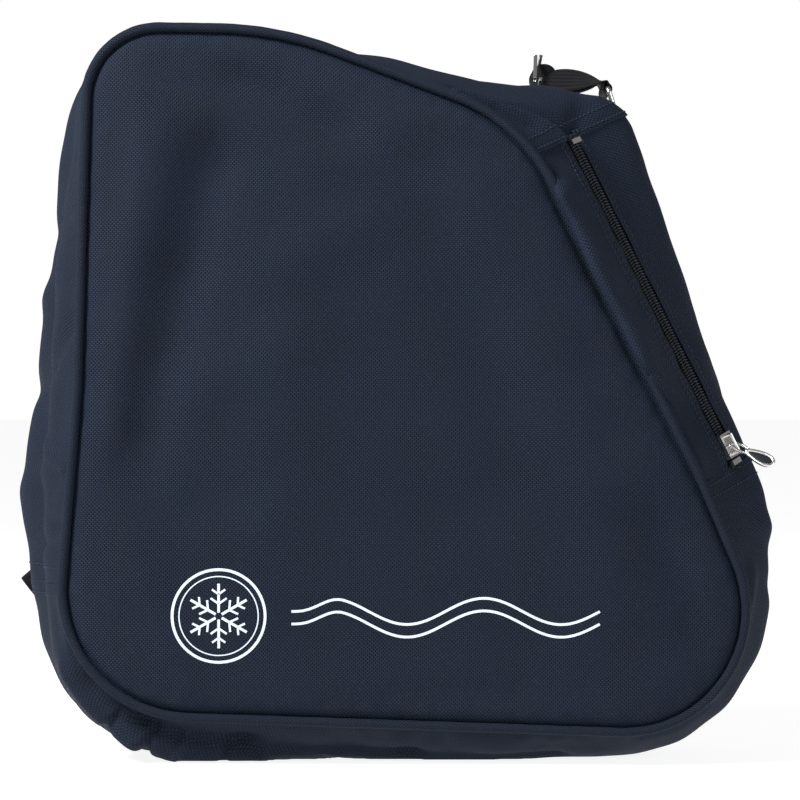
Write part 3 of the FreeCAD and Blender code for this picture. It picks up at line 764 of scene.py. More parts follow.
PITCH = 1.75
turns = int((LOW + 1 - TOP) / PITCH)
per_turn = 12 if FINE > 1 else 8
tapes, coils = {}, {}
for side, place in ((-1, "front"), (1, "back")):
    down = np.linspace(TOP - 1.0, LOW + 1.0, 110 * FINE)[:, None]
    across = side * np.linspace(0.75, 13.5, 12)[None, :]
    lift = -1.62 + 0.05 * np.sin(down * 2 * math.pi / PITCH) * (np.abs(across) < 4.4)
    points = at_zip(down, across, lift)
    uv = np.stack(np.broadcast_arrays(-down, across), -1)
    tapes[side] = thick(grid_mesh(place + "_zip_tape_cloth", points, uv=uv, flip=side < 0), 0.7)
    phase = np.linspace(0, 1, turns * per_turn) * turns + (0.5 if side > 0 else 0.0)
    turn = 2 * math.pi * phase
    helix = at_zip(TOP + 0.6 + PITCH * phase, side * (2.0 - 2.05 * np.cos(turn)), -0.22 + 0.98 * np.sin(turn))
    coils[side] = tube(place + "_coil_teeth", helix, 0.42, 6, ALONG)
print("each coil has", turns, "turns")

# %% [markdown]
# Stitches are the scale cue on a sewn thing, so each one is a real bump of thread: a
# short capsule whose ends dive into the cloth. One template is copied to every place
# along a line of the surface, turned to the line's direction and the cloth's normal,
# and all the copies of one row group become one mesh.

# %% Rows of stitches
STITCH_S = np.array([-1.0, -0.82, -0.4, 0.4, 0.82, 1.0])
STITCH_R = np.array([0.25, 0.75, 1.0, 1.0, 0.75, 0.25])
STITCH_H = np.array([-0.9, 0.1, 0.75, 0.75, 0.1, -0.9])


def stitch_row(line, normals, pitch, length, radius):
    """Points of every stitch on a line: (stitches, 6 along, 6 round, xyz)."""
    d = run(line)
    at = np.arange(pitch * 0.6, d[-1] - pitch * 0.4, pitch)
    pick = lambda v: np.stack([np.interp(at, d, v[:, k]) for k in range(3)], -1)
    middle, n = pick(line), pick(normals)
    way = unit(pick(np.gradient(line, d, axis=0)))
    n = unit(n - way * (n * way).sum(1)[:, None])
    b = np.cross(way, n)
    a = np.linspace(0, 2 * math.pi, 6, endpoint=False)
    s = STITCH_S[None, :, None, None] * length / 2
    r = STITCH_R[None, :, None, None] * radius
    h = STITCH_H[None, :, None, None] * radius
    spread = lambda v: v[:, None, None, :]
    return (spread(middle) + spread(way) * s + spread(n) * (h + r * np.sin(a)[None, None, :, None])
            + spread(b) * r * np.cos(a)[None, None, :, None])


def stitch_mesh(name, rows):
    """All the stitches of several rows as one mesh."""
    points = np.concatenate(rows)
    i, j = np.arange(5)[:, None], np.arange(6)[None, :]
    quad = np.stack([i * 6 + j, i * 6 + (j + 1) % 6, (i + 1) * 6 + (j + 1) % 6, (i + 1) * 6 + j], -1)
    caps = np.array([[5, 4, 3, 2, 1, 0], [30, 31, 32, 33, 34, 35]])
    starts = np.arange(len(points))[:, None, None] * 36
    faces = (quad.reshape(1, -1, 4) + starts).reshape(-1, 4).tolist()
    faces += (caps[None] + starts).reshape(-1, 6).tolist()
    return new_piece(name, points, faces)


print("one stitch has", 5 * 6 + 2, "faces")

# %% [markdown]
# A row runs either along a grid, beside the zip, or across it, at a seam between two
# pieces of the band. Each takes its line and its normals from the cloth's own grid, so
# the thread lies on every wave of the cloth.

# %% Where the rows of stitches run
def column(points, share):
    """A grid's line at a share of the way across, with its normals."""
    n = facing_out(points)
    at = share * (points.shape[1] - 1)
    i = min(int(at), points.shape[1] - 2)
    f = at - i
    return points[:, i] * (1 - f) + points[:, i + 1] * f, n[:, i] * (1 - f) + n[:, i + 1] * f


def row_at(points, index):
    """A grid's line across the band at one place along it, with its normals."""
    return points[index], facing_out(points)[index]


front_rows = [stitch_row(*column(front_points, 1 - d / front_side), 3.3, 2.5, 0.34) for d in (4.2, 9.2)]
back_rows = [stitch_row(*column(back_points, 4.2 / back_side), 3.3, 2.5, 0.34)]
front_thread = stitch_mesh("front_strip_stitching", front_rows)
back_thread = stitch_mesh("back_strip_stitching", back_rows)
across_at = ((heel_points, 1), (heel_points, 4), (base_points, -2), (base_points, -5),
             (heel_points, -4), (base_points, 3))
seam_rows = [stitch_row(*row_at(points, index * FINE), 3.2, 2.4, 0.34) for points, index in across_at]
seam_thread = stitch_mesh("cross_seam_stitching", seam_rows)
tape_rows = {}
for side in (-1, 1):
    down = np.linspace(TOP + 3, LOW - 3, 200)
    line = at_zip(down, side * 4.75, -1.55)
    tape_rows[side] = stitch_mesh(("front" if side < 0 else "back") + "_coil_stitching",
                                  [stitch_row(line, line * 0 + FACING, PITCH, 1.3, 0.24)])
print("cross seams have", sum(len(r) for r in seam_rows), "stitches")

# %% [markdown]
# The strap is woven webbing. It is a flat ribbon with rounded edges carried along a
# path, and at each point the ribbon has a width direction of its own, so that it can
# twist: it leaves the top lying across the bag and reaches the heel standing on edge.
# The path is a Bezier curve, which a few steering points pull into a slack bend.

# %% Webbing
WEB = 38.0
WEB_THICK = 1.8
WEB_AROUND = 28  # points round its section


def vec(*v):
    """A point or a direction."""
    return np.array(v, float)


def webbing(name, path, width_way, wide=WEB, deep=WEB_THICK, seed=0):
    """Ribbon with rounded edges along a path, and its length and girth as UV."""
    way = unit(np.gradient(path, axis=0))
    w = unit(width_way - way * (width_way * way).sum(1)[:, None])
    face = np.cross(way, w)
    a = np.linspace(0, 2 * math.pi, WEB_AROUND, endpoint=False)
    flat = np.sign(np.cos(a)) * np.abs(np.cos(a)) ** 0.7 * wide / 2
    high = np.sign(np.sin(a)) * np.abs(np.sin(a)) ** 0.45 * deep / 2
    d = run(path)
    cup = 0.25 * swell(d[:, None], 60.0, seed)
    points = (path[:, None] + w[:, None] * flat[None, :, None]
              + face[:, None] * (high[None, :] + cup[:, None] * (flat[None, :] / (wide / 2)) ** 2)[..., None])
    girth = np.concatenate([flat, flat[:1]])
    uv = np.stack(np.meshgrid(np.concatenate([d, d[-1:] + 1]), girth, indexing="ij"), -1)
    return grid_mesh(name, points, wrap_v=True, caps=True, uv=uv)


def bezier(steer, t):
    """Curve steered by points: the blend of blends of neighbours, at each share t."""
    work = [np.array(p, float)[None] + 0 * t[:, None] for p in steer]
    while len(work) > 1:
        work = [a + (b - a) * t[:, None] for a, b in zip(work, work[1:])]
    return work[0]


def along_path(points, step=1.2):
    """A natural spline through points, in even steps."""
    points = np.array(points, float)
    d = run(points)
    fine = natural(d, points, np.linspace(0, d[-1], 400))
    return even(fine, max(8, int(d[-1] / step)))


print("the webbing is", WEB, "by", WEB_THICK, "mm")

# %% [markdown]
# The strap hangs from its doubled end, goes behind the bag in a slack bend, and is
# sewn in at the heel with its end folded under. It leaves in line with the doubled end
# and only then takes up its bend, as stiff webbing does.

# %% The shoulder strap
leg_top = slope_at(-319.0, 28.0, 73.0)
leg_low = slope_at(-279.0, 28.0, 88.0)
leg_way = unit(leg_low - leg_top)
pin = slope_at(-285.0, 61.0, 62.0)
ring_way = vec(-math.sin(math.radians(17)), 0, math.cos(math.radians(17)))
ring_far = pin + ring_way * 16.5

t = np.linspace(0, 1, 150 * FINE)
begin, end = leg_low + leg_way * 0.6, vec(-218, 0, 112)
hang = bezier([(begin[0], 0, begin[2]), (begin[0] - 22, 0, begin[2] - 170),
               (60, 0, -50), (-158, 0, 34), end], t)
twist = np.radians(90) * np.clip((t - 0.2) / 0.75, 0, 1) ** 1.4
way = np.gradient(hang, axis=0)
across = np.stack([-way[:, 2] * np.sin(twist), np.cos(twist) * np.linalg.norm(way, axis=1),
                   way[:, 0] * np.sin(twist)], -1)
hang[:, 1] = 69.55 + 19 * np.cos(twist)
join = smooth(t / 0.06)[:, None]
hang = (begin + leg_way * 22 * t[:, None] / 0.06) * (1 - join) + hang * join
strap = webbing("shoulder_strap", hang, across, seed=2)

heel_way = unit(hang[-1] - hang[-4])
back_by = lambda s, y: vec(end[0] + heel_way[0] * s, y, end[2] + heel_way[2] * s)
folded = along_path([back_by(-27, 64.6), back_by(-14, 64.5), back_by(-3, 64.5), back_by(0.2, 65.7),
                     back_by(-3, 66.9), back_by(-14, 67.0), back_by(-25, 67.2)], 0.6)
strap_fold = webbing("strap_end_fold", folded, folded * 0 + vec(-heel_way[2], 0, heel_way[0]), seed=5)

# %% [markdown]
# At the top the strap is held by hardware: a short tab sewn to the bag holds a
# rectangular ring, the strap's end goes round the ring and back, and a three-bar
# slide clamps the two layers. Each loop of webbing is a path that runs round the rod
# of the ring on an arc, so the cloth really wraps what holds it.

# %% The tab, the doubled end and the ring
up = -ALONG
out_way = vec(OUT[0], 0, OUT[1])
lean = -unit(vec(0, -24, 0) + out_way * 48)
sewn = slope_at(-262.0, 26.0, 48.0)
face = np.cross(up, lean)
face *= np.sign(face @ out_way)


def round_rod(centre, first, second, radius, start, stop, count=14):
    """Arc round a rod: the first direction times cosine plus the second times sine."""
    a = np.radians(np.linspace(start, stop, count))[:, None]
    return centre + radius * (first * np.cos(a) + second * np.sin(a))


foot = sewn + up * 8 + face * 1.2
reach = unit((pin - foot) - vec(0, (pin - foot)[1], 0))
beside = np.cross(reach, vec(0, 1, 0))
beside *= np.sign(beside @ up)
back_to = lambda d, off: pin - (pin - foot) * d + beside * off
tail = [sewn + face * 1.1, foot, back_to(0.62, 0.6), back_to(0.36, 1.1), back_to(0.15, 2.2)]
loop = round_rod(pin, beside, reach, 2.75, 12, 168)
home = [back_to(0.15, -2.2), back_to(0.36, -1.0), back_to(0.6, -1.3)]
tab_path = along_path(np.concatenate([tail, loop[::2], home]), 0.8)
blend_in = smooth((tab_path - sewn) @ up / 22.0)[:, None]
tab_across = lean * (1 - blend_in) + vec(0, -1, 0) * blend_in
tab = webbing("strap_anchor_loop", tab_path, tab_across, wide=37.0, seed=8)

ARCH_TILT, ARCH_DROP = math.radians(27), 8.5  # towards the viewer, and down, at its middle
first = ring_far + ring_way * 2.85
arch = bezier([first, first + ring_way * 14, leg_top - leg_way * 26, leg_top], np.linspace(0, 1, 60))
arch = np.concatenate([arch, leg_top + (leg_low - leg_top) * np.linspace(0.04, 1, 30)[:, None]])
way = np.gradient(arch, axis=0)
arch_face = unit(np.cross(way, vec(0, 1, 0)))
gap = 0.93 + 0.9 * np.exp(-((np.arange(len(arch)) - 3) / 4.0) ** 2)[:, None]
wrap = round_rod(ring_far, ring_way, np.cross(ring_way, vec(0, 1, 0)), 2.6, 62, 298, 16)
doubled = np.concatenate([(arch + arch_face * gap)[::-1], wrap, arch - arch_face * gap])
lean_arch = np.concatenate([np.sin(np.linspace(0, math.pi, 60)) ** 1.3, np.zeros(30)])
lean_all = np.concatenate([lean_arch[::-1], np.zeros(len(wrap)), lean_arch])
doubled = even(np.column_stack([doubled, lean_all]), 200 * FINE)
tip = ARCH_TILT * doubled[:, 3]
doubled = doubled[:, :3] - np.outer(ARCH_DROP * doubled[:, 3], vec(0, 0, 1))
adjuster = webbing("strap_doubled_end", doubled, np.stack([0 * tip, np.cos(tip), np.sin(tip)], -1), seed=9)

print("the doubled end takes", round(run(doubled)[-1]), "mm of webbing")

# %% [markdown]
# The slide is stamped from flat steel: two rails joined by three bars. The webbing
# passes inside the outer bars and outside the middle one, so the bars are set to both
# sides of the arch, in a frame that follows the arch's slope and tilt at that place.

# %% The slide and the ring
GLIDE = 51  # the slide's place among the arch's points
glide_at = arch[GLIDE] - vec(0, 0, ARCH_DROP) * lean_arch[GLIDE]
glide_way = unit(arch[GLIDE + 3] - arch[GLIDE - 3])
glide_tip = ARCH_TILT * lean_arch[GLIDE]
glide_side = vec(0, math.cos(glide_tip), math.sin(glide_tip))
glide_side = unit(glide_side - glide_way * (glide_side @ glide_way))
glide_face = unit(np.cross(glide_side, glide_way))
BAR_AT, RAIL_AT, BAR_LIFT = 10.8, 21.0, 3.3


def glide_bar(name, s0, w0, s1, w1, lift, wide):
    """One flat bar of the slide: its two ends along and across, its height, its width."""
    p = np.linspace(0, 1, 12)[:, None]
    line = glide_at + glide_way * (s0 + (s1 - s0) * p) + glide_side * (w0 + (w1 - w0) * p)
    line = line + glide_face * lift
    return webbing(name, line, line * 0 + (glide_way if s0 == s1 else glide_side), wide, 2.2)


bars = [glide_bar("slide_rail_" + place, -12.0, w, 12.0, w, 0.0, 3.6)
        for place, w in (("front", -RAIL_AT), ("back", RAIL_AT))]
bars += [glide_bar("slide_bar_" + place, s, -20.5, s, 20.5, BAR_LIFT if s else -BAR_LIFT, 3.0)
         for place, s in (("upper", -BAR_AT), ("middle", 0.0), ("lower", BAR_AT))]

corners = [(-21.2, 0, 3.6), (21.2, 0, 3.6), (21.2, 16.5, 3.6), (-21.2, 16.5, 3.6)]
oblong = rounded(corners)[::12]
ring_path = pin + vec(0, 1, 0) * oblong[:, :1] + ring_way * oblong[:, 1:]
ring = tube("webbing_ring", ring_path, 1.6, 14, np.cross(ring_way, vec(0, 1, 0)), closed=True)
print("the slide is made of", len(bars), "bars")

# %% [markdown]
# The pull is a small teardrop of plated metal with a soft dark centre. A bent wire
# goes through the slider's bridge and carries a rim, which is a tube along a teardrop
# line; the line is a circle whose width shrinks towards the wire. The whole pull is
# turned a little on its own axis, as a loosely held pull rests.

# %% The pull
SLIDER_AT, PIVOT_UP = -78.9, 4.67
rise_by = math.radians(44)
PULL_WAY = ALONG * math.cos(rise_by) + FACING * math.sin(rise_by)
PULL_UP = FACING * math.cos(rise_by) - ALONG * math.sin(rise_by)


def pull_at(s, x, lift):
    """Point of the pull: along it, across it and above it, turned more farther out."""
    s, x, lift = np.broadcast_arrays(s, x, lift)
    turn = math.radians(34) * smooth((s - 1.0) / 8.0)
    c, n = np.cos(turn)[..., None], np.sin(turn)[..., None]
    wide, high = ACROSS * c + PULL_UP * n, PULL_UP * c - ACROSS * n
    pivot = at_zip(np.array(SLIDER_AT), 0.0, PIVOT_UP)
    return pivot + s[..., None] * PULL_WAY + x[..., None] * wide + lift[..., None] * high


a = np.linspace(0, 2 * math.pi, 72, endpoint=False)
drop_s, drop_x = 19.0 + 8.9 * np.cos(a), 4.5 * np.sin(a) * (0.72 + 0.28 * np.cos(a))
rim = tube("pull_rim", pull_at(drop_s, drop_x, 0.0), 1.1, 14, PULL_UP, closed=True)
eye = rounded([(0, -3.4, 0.9), (11.0, -1.5, 0.9), (11.0, 1.5, 0.9), (0, 3.4, 0.9)])[::24]
wire = tube("pull_wire", pull_at(eye[:, 0], eye[:, 1], 0.0), 0.78, 12, PULL_UP, closed=True)
k = np.sin(np.linspace(-math.pi / 2, math.pi / 2, 19))[None, :]
shrink = np.sqrt(np.maximum(1 - k**2, 0)) * 0.93 + 0.002
pad = pull_at(19.0 + (drop_s - 19.0)[:, None] * shrink, drop_x[:, None] * shrink, 0.8 * k)
insert = grid_mesh("pull_centre", pad, wrap_u=True)
print("the pull is", round(float(drop_s.max() + 1.1), 1), "mm long")

# %% [markdown]
# The print is flat ink on the front panel: a round badge with a six-armed snow crystal
# and a pair of thin ski tracks beside it. Each stroke is a narrow grid that lies just
# off the cloth, at the height the panel's own formula gives, so the ink follows every
# swell.

# %% The printed badge and tracks
INK = (-103.5, 87.0)  # the badge's middle
INK_LIFT = 0.14


def stroke(xz, wide, closed=False):
    """A narrow grid along a line of the front view, laid on the front panel."""
    if closed:
        way = np.roll(xz, -1, 0) - np.roll(xz, 1, 0)
    else:
        way = np.gradient(xz, axis=0)
    way = unit(way)
    side = np.stack([-way[:, 1], way[:, 0]], -1)
    flat = xz[:, None] + side[:, None] * (np.linspace(-0.5, 0.5, 4) * wide)[None, :, None]
    if closed:
        flat = np.concatenate([flat, flat[:1]])
    return np.stack([flat[..., 0], panel_y(flat, -1, FRONT_SEED) - INK_LIFT, flat[..., 1]], -1)


a = np.linspace(0, 2 * math.pi, 180, endpoint=False)
circle = np.stack([np.cos(a), np.sin(a)], -1)
strokes = [stroke(vec(*INK) + circle * r, w, True) for r, w in ((26.5, 1.6), (22.6, 0.7))]
for arm in range(6):
    way = vec(math.sin(arm * math.pi / 3), math.cos(arm * math.pi / 3))
    side = vec(-way[1], way[0])
    line = lambda p, q: vec(*INK) + p + (q - p) * np.linspace(0, 1, 14)[:, None]
    strokes.append(stroke(line(way * 2.0, way * 18.5), 1.5))
    for at, reach in ((7.0, 4.6), (12.5, 3.8)):
        for turn in (-1, 1):
            strokes.append(stroke(line(way * at, way * (at + reach * 0.7) + side * turn * reach), 1.2))
x = np.linspace(-62, 114, 240)
for shift in (-3.6, 3.6):
    z = 86 + 7.5 * np.sin((x + 62) * 2 * math.pi / 88.0) * smooth((x + 62) / 30) + shift
    strokes.append(stroke(np.stack([x, z], -1), 1.5))


def joined(name, grids):
    """Several open grids as one mesh."""
    verts, faces, count = [], [], 0
    for g in grids:
        rows, cols = g.shape[:2]
        i, j = np.arange(rows - 1)[:, None], np.arange(cols - 1)[None, :]
        quad = np.stack([i * cols + j, (i + 1) * cols + j, (i + 1) * cols + j + 1, i * cols + j + 1], -1)
        faces += (quad.reshape(-1, 4) + count).tolist()
        verts.append(g.reshape(-1, 3))
        count += rows * cols
    return new_piece(name, np.concatenate(verts), faces)


ink = joined("printed_badge_and_tracks", strokes)
print("the print has", len(strokes), "strokes")

# %% [markdown]
# Materials are node graphs worked out from coordinates, so they need no image. A graph
# built by hand takes many lines, so this helper adds one node at a time and joins it,
# and a finish then reads like the sum that it is.

# %% A small helper for node graphs
class Graph:
    """Adds nodes to one material and joins them, so that a graph reads as a formula."""

    def __init__(self, name, colour, rough, metal=0.0):
        self.mat = bpy.data.materials.new(name)
        self.mat.use_nodes = True
        self.nodes, self.links = self.mat.node_tree.nodes, self.mat.node_tree.links
        self.out = self.nodes["Principled BSDF"]
        self.set(self.out, "Base Color", (*colour, 1.0))
        self.set(self.out, "Roughness", rough)
        self.set(self.out, "Metallic", metal)

    def set(self, node, socket, value):
        """Give an input a value, or join it to another node's output."""
        if isinstance(value, bpy.types.NodeSocket):
            self.links.new(value, node.inputs[socket])
        else:
            node.inputs[socket].default_value = value

    def add(self, kind, inputs=(), out=0, **settings):
        """One node; settings are its properties and inputs its sockets by name."""
        node = self.nodes.new("ShaderNode" + kind)
        for key, value in settings.items():
            setattr(node, key, value)
        for socket, value in dict(inputs).items():
            self.set(node, socket, value)
        return node.outputs[out]

    def maths(self, operation, a, b=0.0, c=0.0):
        """One arithmetic step."""
        return self.add("Math", {0: a, 1: b, 2: c}, operation=operation)

    def spread(self, value, low, high, to_low=0.0, to_high=1.0):
        """A value moved from one range to another and held inside it."""
        return self.add("MapRange", {"Value": value, "From Min": low, "From Max": high,
                                     "To Min": to_low, "To Max": to_high})

    def noise(self, where, size, detail=3.0, rough=0.5):
        """Soft noise whose lumps are about size metres across."""
        return self.add("TexNoise", {"Vector": where, "Scale": 1.0 / size, "Detail": detail,
                                     "Roughness": rough})

    def mix(self, share, a, b):
        """Colour between two colours."""
        node = self.nodes.new("ShaderNodeMix")
        node.data_type = "RGBA"
        self.set(node, 0, share)
        self.set(node, 6, a if not isinstance(a, tuple) else (*a, 1.0))
        self.set(node, 7, b if not isinstance(b, tuple) else (*b, 1.0))
        return node.outputs[2]

    def bump(self, height, depth, under=None):
        """Normal made from a height in metres."""
        inputs = {"Height": height, "Distance": depth, "Strength": 1.0}
        if under is not None:
            inputs["Normal"] = under
        return self.add("Bump", inputs)

    def place(self):
        """Object coordinates."""
        return self.add("TexCoord", out=3)

    def cut(self):
        """The piece's flat cut, from its UV."""
        split = self.nodes.new("ShaderNodeSeparateXYZ")
        self.links.new(self.add("TexCoord", out=2), split.inputs[0])
        return split.outputs[0], split.outputs[1]


print("a graph is built from Object coordinates or from the flat cut")

# %% [markdown]
# The cloth is a twill of fine polyester: warp and weft threads cross, and which one is
# on top shifts by one thread each row, which makes the slanted lines. The graph repeats
# that rule: a sine across the warp, a sine across the weft, and a third one along the
# diagonal that chooses between them. The same height darkens the gaps and drives the
# bump, and slow noise varies the colour, because dyed cloth is never one colour.

# %% The woven cloth
def woven(name, colour, worn, thread, rough=0.62):
    """Twill: two crossing sets of threads and a diagonal that picks the upper one."""
    g = Graph(name, colour, rough)
    u, v = g.cut()
    place = g.place()
    drift = g.noise(place, 0.012, 2.0)
    u = g.maths("MULTIPLY_ADD", drift, thread * 0.9, u)
    warp = g.maths("ABSOLUTE", g.maths("SINE", g.maths("MULTIPLY", u, math.pi / thread)))
    weft = g.maths("ABSOLUTE", g.maths("SINE", g.maths("MULTIPLY", v, math.pi / thread)))
    slant = g.maths("SINE", g.maths("MULTIPLY", g.maths("ADD", u, v), math.pi / thread))
    pick = g.spread(slant, -0.35, 0.35)
    over = g.maths("MULTIPLY", warp, g.maths("SUBTRACT", 1.0, pick))
    height = g.maths("MULTIPLY_ADD", weft, pick, over)
    fuzz = g.noise(place, 0.0004, 2.0, 0.7)
    slow = g.noise(place, 0.06, 3.0)
    dark = tuple(c * 0.12 for c in colour)
    base = g.mix(g.spread(height, 0.15, 0.85), dark, tuple(c * 1.2 for c in colour))
    base = g.mix(g.spread(pick, 0.0, 1.0, 0.0, 0.62), base, worn)
    base = g.mix(g.spread(slow, 0.35, 0.7, 0.0, 0.2), base, worn)
    speck = g.noise(place, 0.0008, 1.0, 0.5)
    base = g.mix(g.spread(speck, 0.58, 0.75, 0.0, 0.4), base, tuple(c * 1.5 for c in worn))
    edge = g.spread(g.add("NewGeometry", out=7), 0.53, 0.64, 0.0, 0.5)
    base = g.mix(edge, base, tuple(c * 1.35 for c in worn))
    g.set(g.out, "Base Color", base)
    g.set(g.out, "Roughness", g.spread(slow, 0.3, 0.7, rough - 0.07, rough + 0.06))
    soft = g.bump(slow, 0.0012)
    g.set(g.out, "Normal", g.bump(g.maths("MULTIPLY_ADD", fuzz, 0.25, height), thread * 0.34, soft))
    g.set(g.out, "Specular IOR Level", 0.09)
    g.set(g.out, "Sheen Weight", 0.04)
    g.set(g.out, "Sheen Roughness", 0.45)
    g.set(g.out, "Sheen Tint", (*[min(1.0, c * 9) for c in worn], 1.0))
    return g.mat


NAVY = (0.0070, 0.0105, 0.0200)
cloth = woven("navy_twill_cloth", NAVY, (0.0170, 0.0244, 0.0430), 0.00112)
cord_cloth = woven("piping_cover_cloth", (0.0066, 0.0098, 0.0182), (0.0172, 0.0240, 0.0410), 0.00100)
tape_cloth = woven("zip_tape_weave", (0.0085, 0.0105, 0.0140), (0.020, 0.024, 0.030), 0.00042, 0.7)
binding_cloth = woven("binding_tape_weave", (0.012, 0.015, 0.021), (0.026, 0.031, 0.040), 0.0005, 0.7)
print("four cloths are woven, the coarsest with threads 1.12 mm apart")

# %% [markdown]
# Webbing is woven on a narrow loom with thick warp threads, so it has ribs along its
# length and a herringbone of short slanted floats. The graph folds the width back and
# forth, so the slant turns round at every rib, and a sine across the ribs lowers the
# cloth between them.

# %% Webbing, thread and ink
RIB, PICK = 0.0031, 0.00165  # widths of a rib and of a slanted float, in metres


def ribbed(name, colour, worn):
    """Herringbone webbing: slanted floats that turn round at each rib."""
    g = Graph(name, colour, 0.55)
    u, v = g.cut()
    place = g.place()
    fold_v = g.maths("PINGPONG", g.maths("ADD", v, 0.1), RIB)
    slant = g.maths("SINE", g.maths("MULTIPLY", g.maths("ADD", u, fold_v), 2 * math.pi / PICK))
    float_up = g.spread(slant, -0.8, 0.8)
    rib = g.maths("ABSOLUTE", g.maths("SINE", g.maths("MULTIPLY", v, math.pi / RIB)))
    rail = g.spread(rib, 0.0, 0.5)
    height = g.maths("MULTIPLY", float_up, rail)
    fuzz = g.noise(place, 0.0005, 2.0, 0.7)
    base = g.mix(height, tuple(c * 0.4 for c in colour), tuple(c * 1.3 for c in colour))
    base = g.mix(g.spread(fuzz, 0.5, 0.8, 0.0, 0.3), base, worn)
    base = g.mix(g.spread(g.add("NewGeometry", out=7), 0.52, 0.62, 0.0, 0.6), base, worn)
    g.set(g.out, "Base Color", base)
    g.set(g.out, "Normal", g.bump(g.maths("MULTIPLY_ADD", fuzz, 0.3, height), 0.00035))
    g.set(g.out, "Specular IOR Level", 0.1)
    g.set(g.out, "Sheen Weight", 0.02)
    return g.mat


def plain(name, colour, rough, size, depth, vary=0.15, metal=0.0, stretch_to=None, shine=0.5):
    """A finish with fine noise in its colour, its roughness and its surface."""
    g = Graph(name, colour, rough, metal)
    place = g.place()
    if stretch_to:
        place = g.add("Mapping", {"Vector": place, "Scale": stretch_to})
    fine, slow = g.noise(place, size, 4.0, 0.6), g.noise(g.place(), 0.012, 2.0)
    low, high = tuple(c * (1 - vary) for c in colour), tuple(min(1.0, c * (1 + vary)) for c in colour)
    g.set(g.out, "Base Color", g.mix(g.spread(fine, 0.3, 0.7), low, high))
    g.set(g.out, "Roughness", g.spread(slow, 0.3, 0.7, rough * 0.8, rough * 1.25))
    g.set(g.out, "Normal", g.bump(fine, depth))
    g.set(g.out, "Specular IOR Level", shine)
    return g.mat


strap_cloth = ribbed("black_webbing", (0.0042, 0.0046, 0.0062), (0.014, 0.015, 0.019))
thread_mat = plain("polyester_thread", (0.024, 0.031, 0.047), 0.5, 0.0003, 0.00005, 0.35, shine=0.15)
coil_mat = plain("nylon_coil", (0.010, 0.013, 0.020), 0.36, 0.0006, 0.00003, 0.25, shine=0.35)
nickel = plain("brushed_nickel", (0.80, 0.79, 0.77), 0.24, 0.0004, 0.000012, 0.05, 1.0, (1.0, 6.0, 1.0))
buckle_metal = plain("polished_steel", (0.72, 0.72, 0.73), 0.20, 0.0005, 0.000012, 0.06, 1.0, (5.0, 1.0, 1.0))
rubber = plain("moulded_rubber", (0.012, 0.014, 0.019), 0.48, 0.0005, 0.00004, 0.2, shine=0.12)
ink_mat = plain("white_screen_ink", (0.66, 0.75, 0.84), 0.5, 0.0005, 0.00003, 0.05)
print("webbing, thread, coil, nickel, steel, rubber and ink have a finish each")

# %% [markdown]
# Every visual piece now takes its finish and stands for its engineered pieces; the
# pieces beside the zip and the long strap take no body, and the rest join the body they
# move with. Cloth beside the zip is sewn down at both ends, so it cannot turn as a whole
# when the bag opens: each point gets a weight that is nought at the ends and at the
# seam, and one in the middle of the zip's edge, but the weight is not applied.

# %% Which piece stands for what
def dress(obj, mat, nodes=(), body="bag"):
    """Finish, material slot, replaced nodes and body for one piece."""
    obj.data.materials.append(mat)
    if nodes:
        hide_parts(*nodes)
    if body:
        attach(obj, body)
    return obj


def opens(obj, side):
    """Bakes the piece's place into its points and works out its weight for the mouth's flap, which is not
    applied.
    """
    hinge = slope_at(-173.0, 0.0, side * SEAM_Y)
    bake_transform(obj)
    co = np.array([v.co for v in obj.data.vertices]) / MM
    down = down_of(co)
    rel = co - hinge
    off = np.hypot(rel @ out_way, rel[:, 1])
    weight = smooth((down - MOUTH[0]) / 62.0) * smooth((MOUTH[1] - down) / 62.0)
    weight = weight * smooth((off - 3.0) / 24.0)
    return obj


dress(heel_band, cloth, ["heel_and_top_gusset"])
dress(base_band, cloth, ["base_and_toe_gusset"])
dress(panels[-1], cloth, ["front_panel"])
dress(panels[1], cloth, ["back_panel"])
dress(ink, ink_mat)
for side, place in ((-1, "front"), (1, "back")):
    dress(piping[side], cord_cloth, [place + "_piping"])
    dress(bindings[side], binding_cloth, [place + "_seam_binding"])
    strip = dress(front_cloth if side < 0 else back_cloth, cloth, ["zip_strip_" + place], None)
    thread = dress(front_thread if side < 0 else back_thread, thread_mat, (), None)
    end_tape = "zip_tape_upper_end" if side < 0 else "zip_tape_lower_end"
    end_coil = "zip_coil_upper_end" if side < 0 else "zip_coil_lower_end"
    zip_tape = dress(tapes[side], tape_cloth, ["zip_tape_" + place, end_tape], None)
    coil = dress(coils[side], coil_mat, ["zip_coil_" + place, end_coil], None)
    coil_thread = dress(tape_rows[side], thread_mat, (), None)
    for piece in (strip, thread, zip_tape, coil, coil_thread):
        opens(piece, side)
dress(seam_thread, thread_mat)
dress(rim, nickel, ["pull_tab"], "pull")
dress(wire, nickel, (), "pull")
dress(insert, rubber, ["pull_insert"], "pull")
dress(tab, strap_cloth, ["strap_anchor_tab"])
dress(strap_fold, strap_cloth, ["strap_lower_end"])
dress(adjuster, strap_cloth, ["strap_adjuster_loop"], "adjuster")
dress(ring, buckle_metal, ["strap_ring"], "adjuster")
for number, bar in enumerate(bars):
    dress(bar, buckle_metal, ["strap_tri_glide"] if number == 0 else (), "tri_glide")
dress(strap, strap_cloth, ["strap_webbing"], None)
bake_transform(strap)

# %% [markdown]
# The slider and the zip's two stops keep their engineered shape, since they are hard
# pieces cast or pressed to it. A bevel rounds the edges, as tumbling does in the
# factory, and that thin bright line along each edge is what makes metal look real.

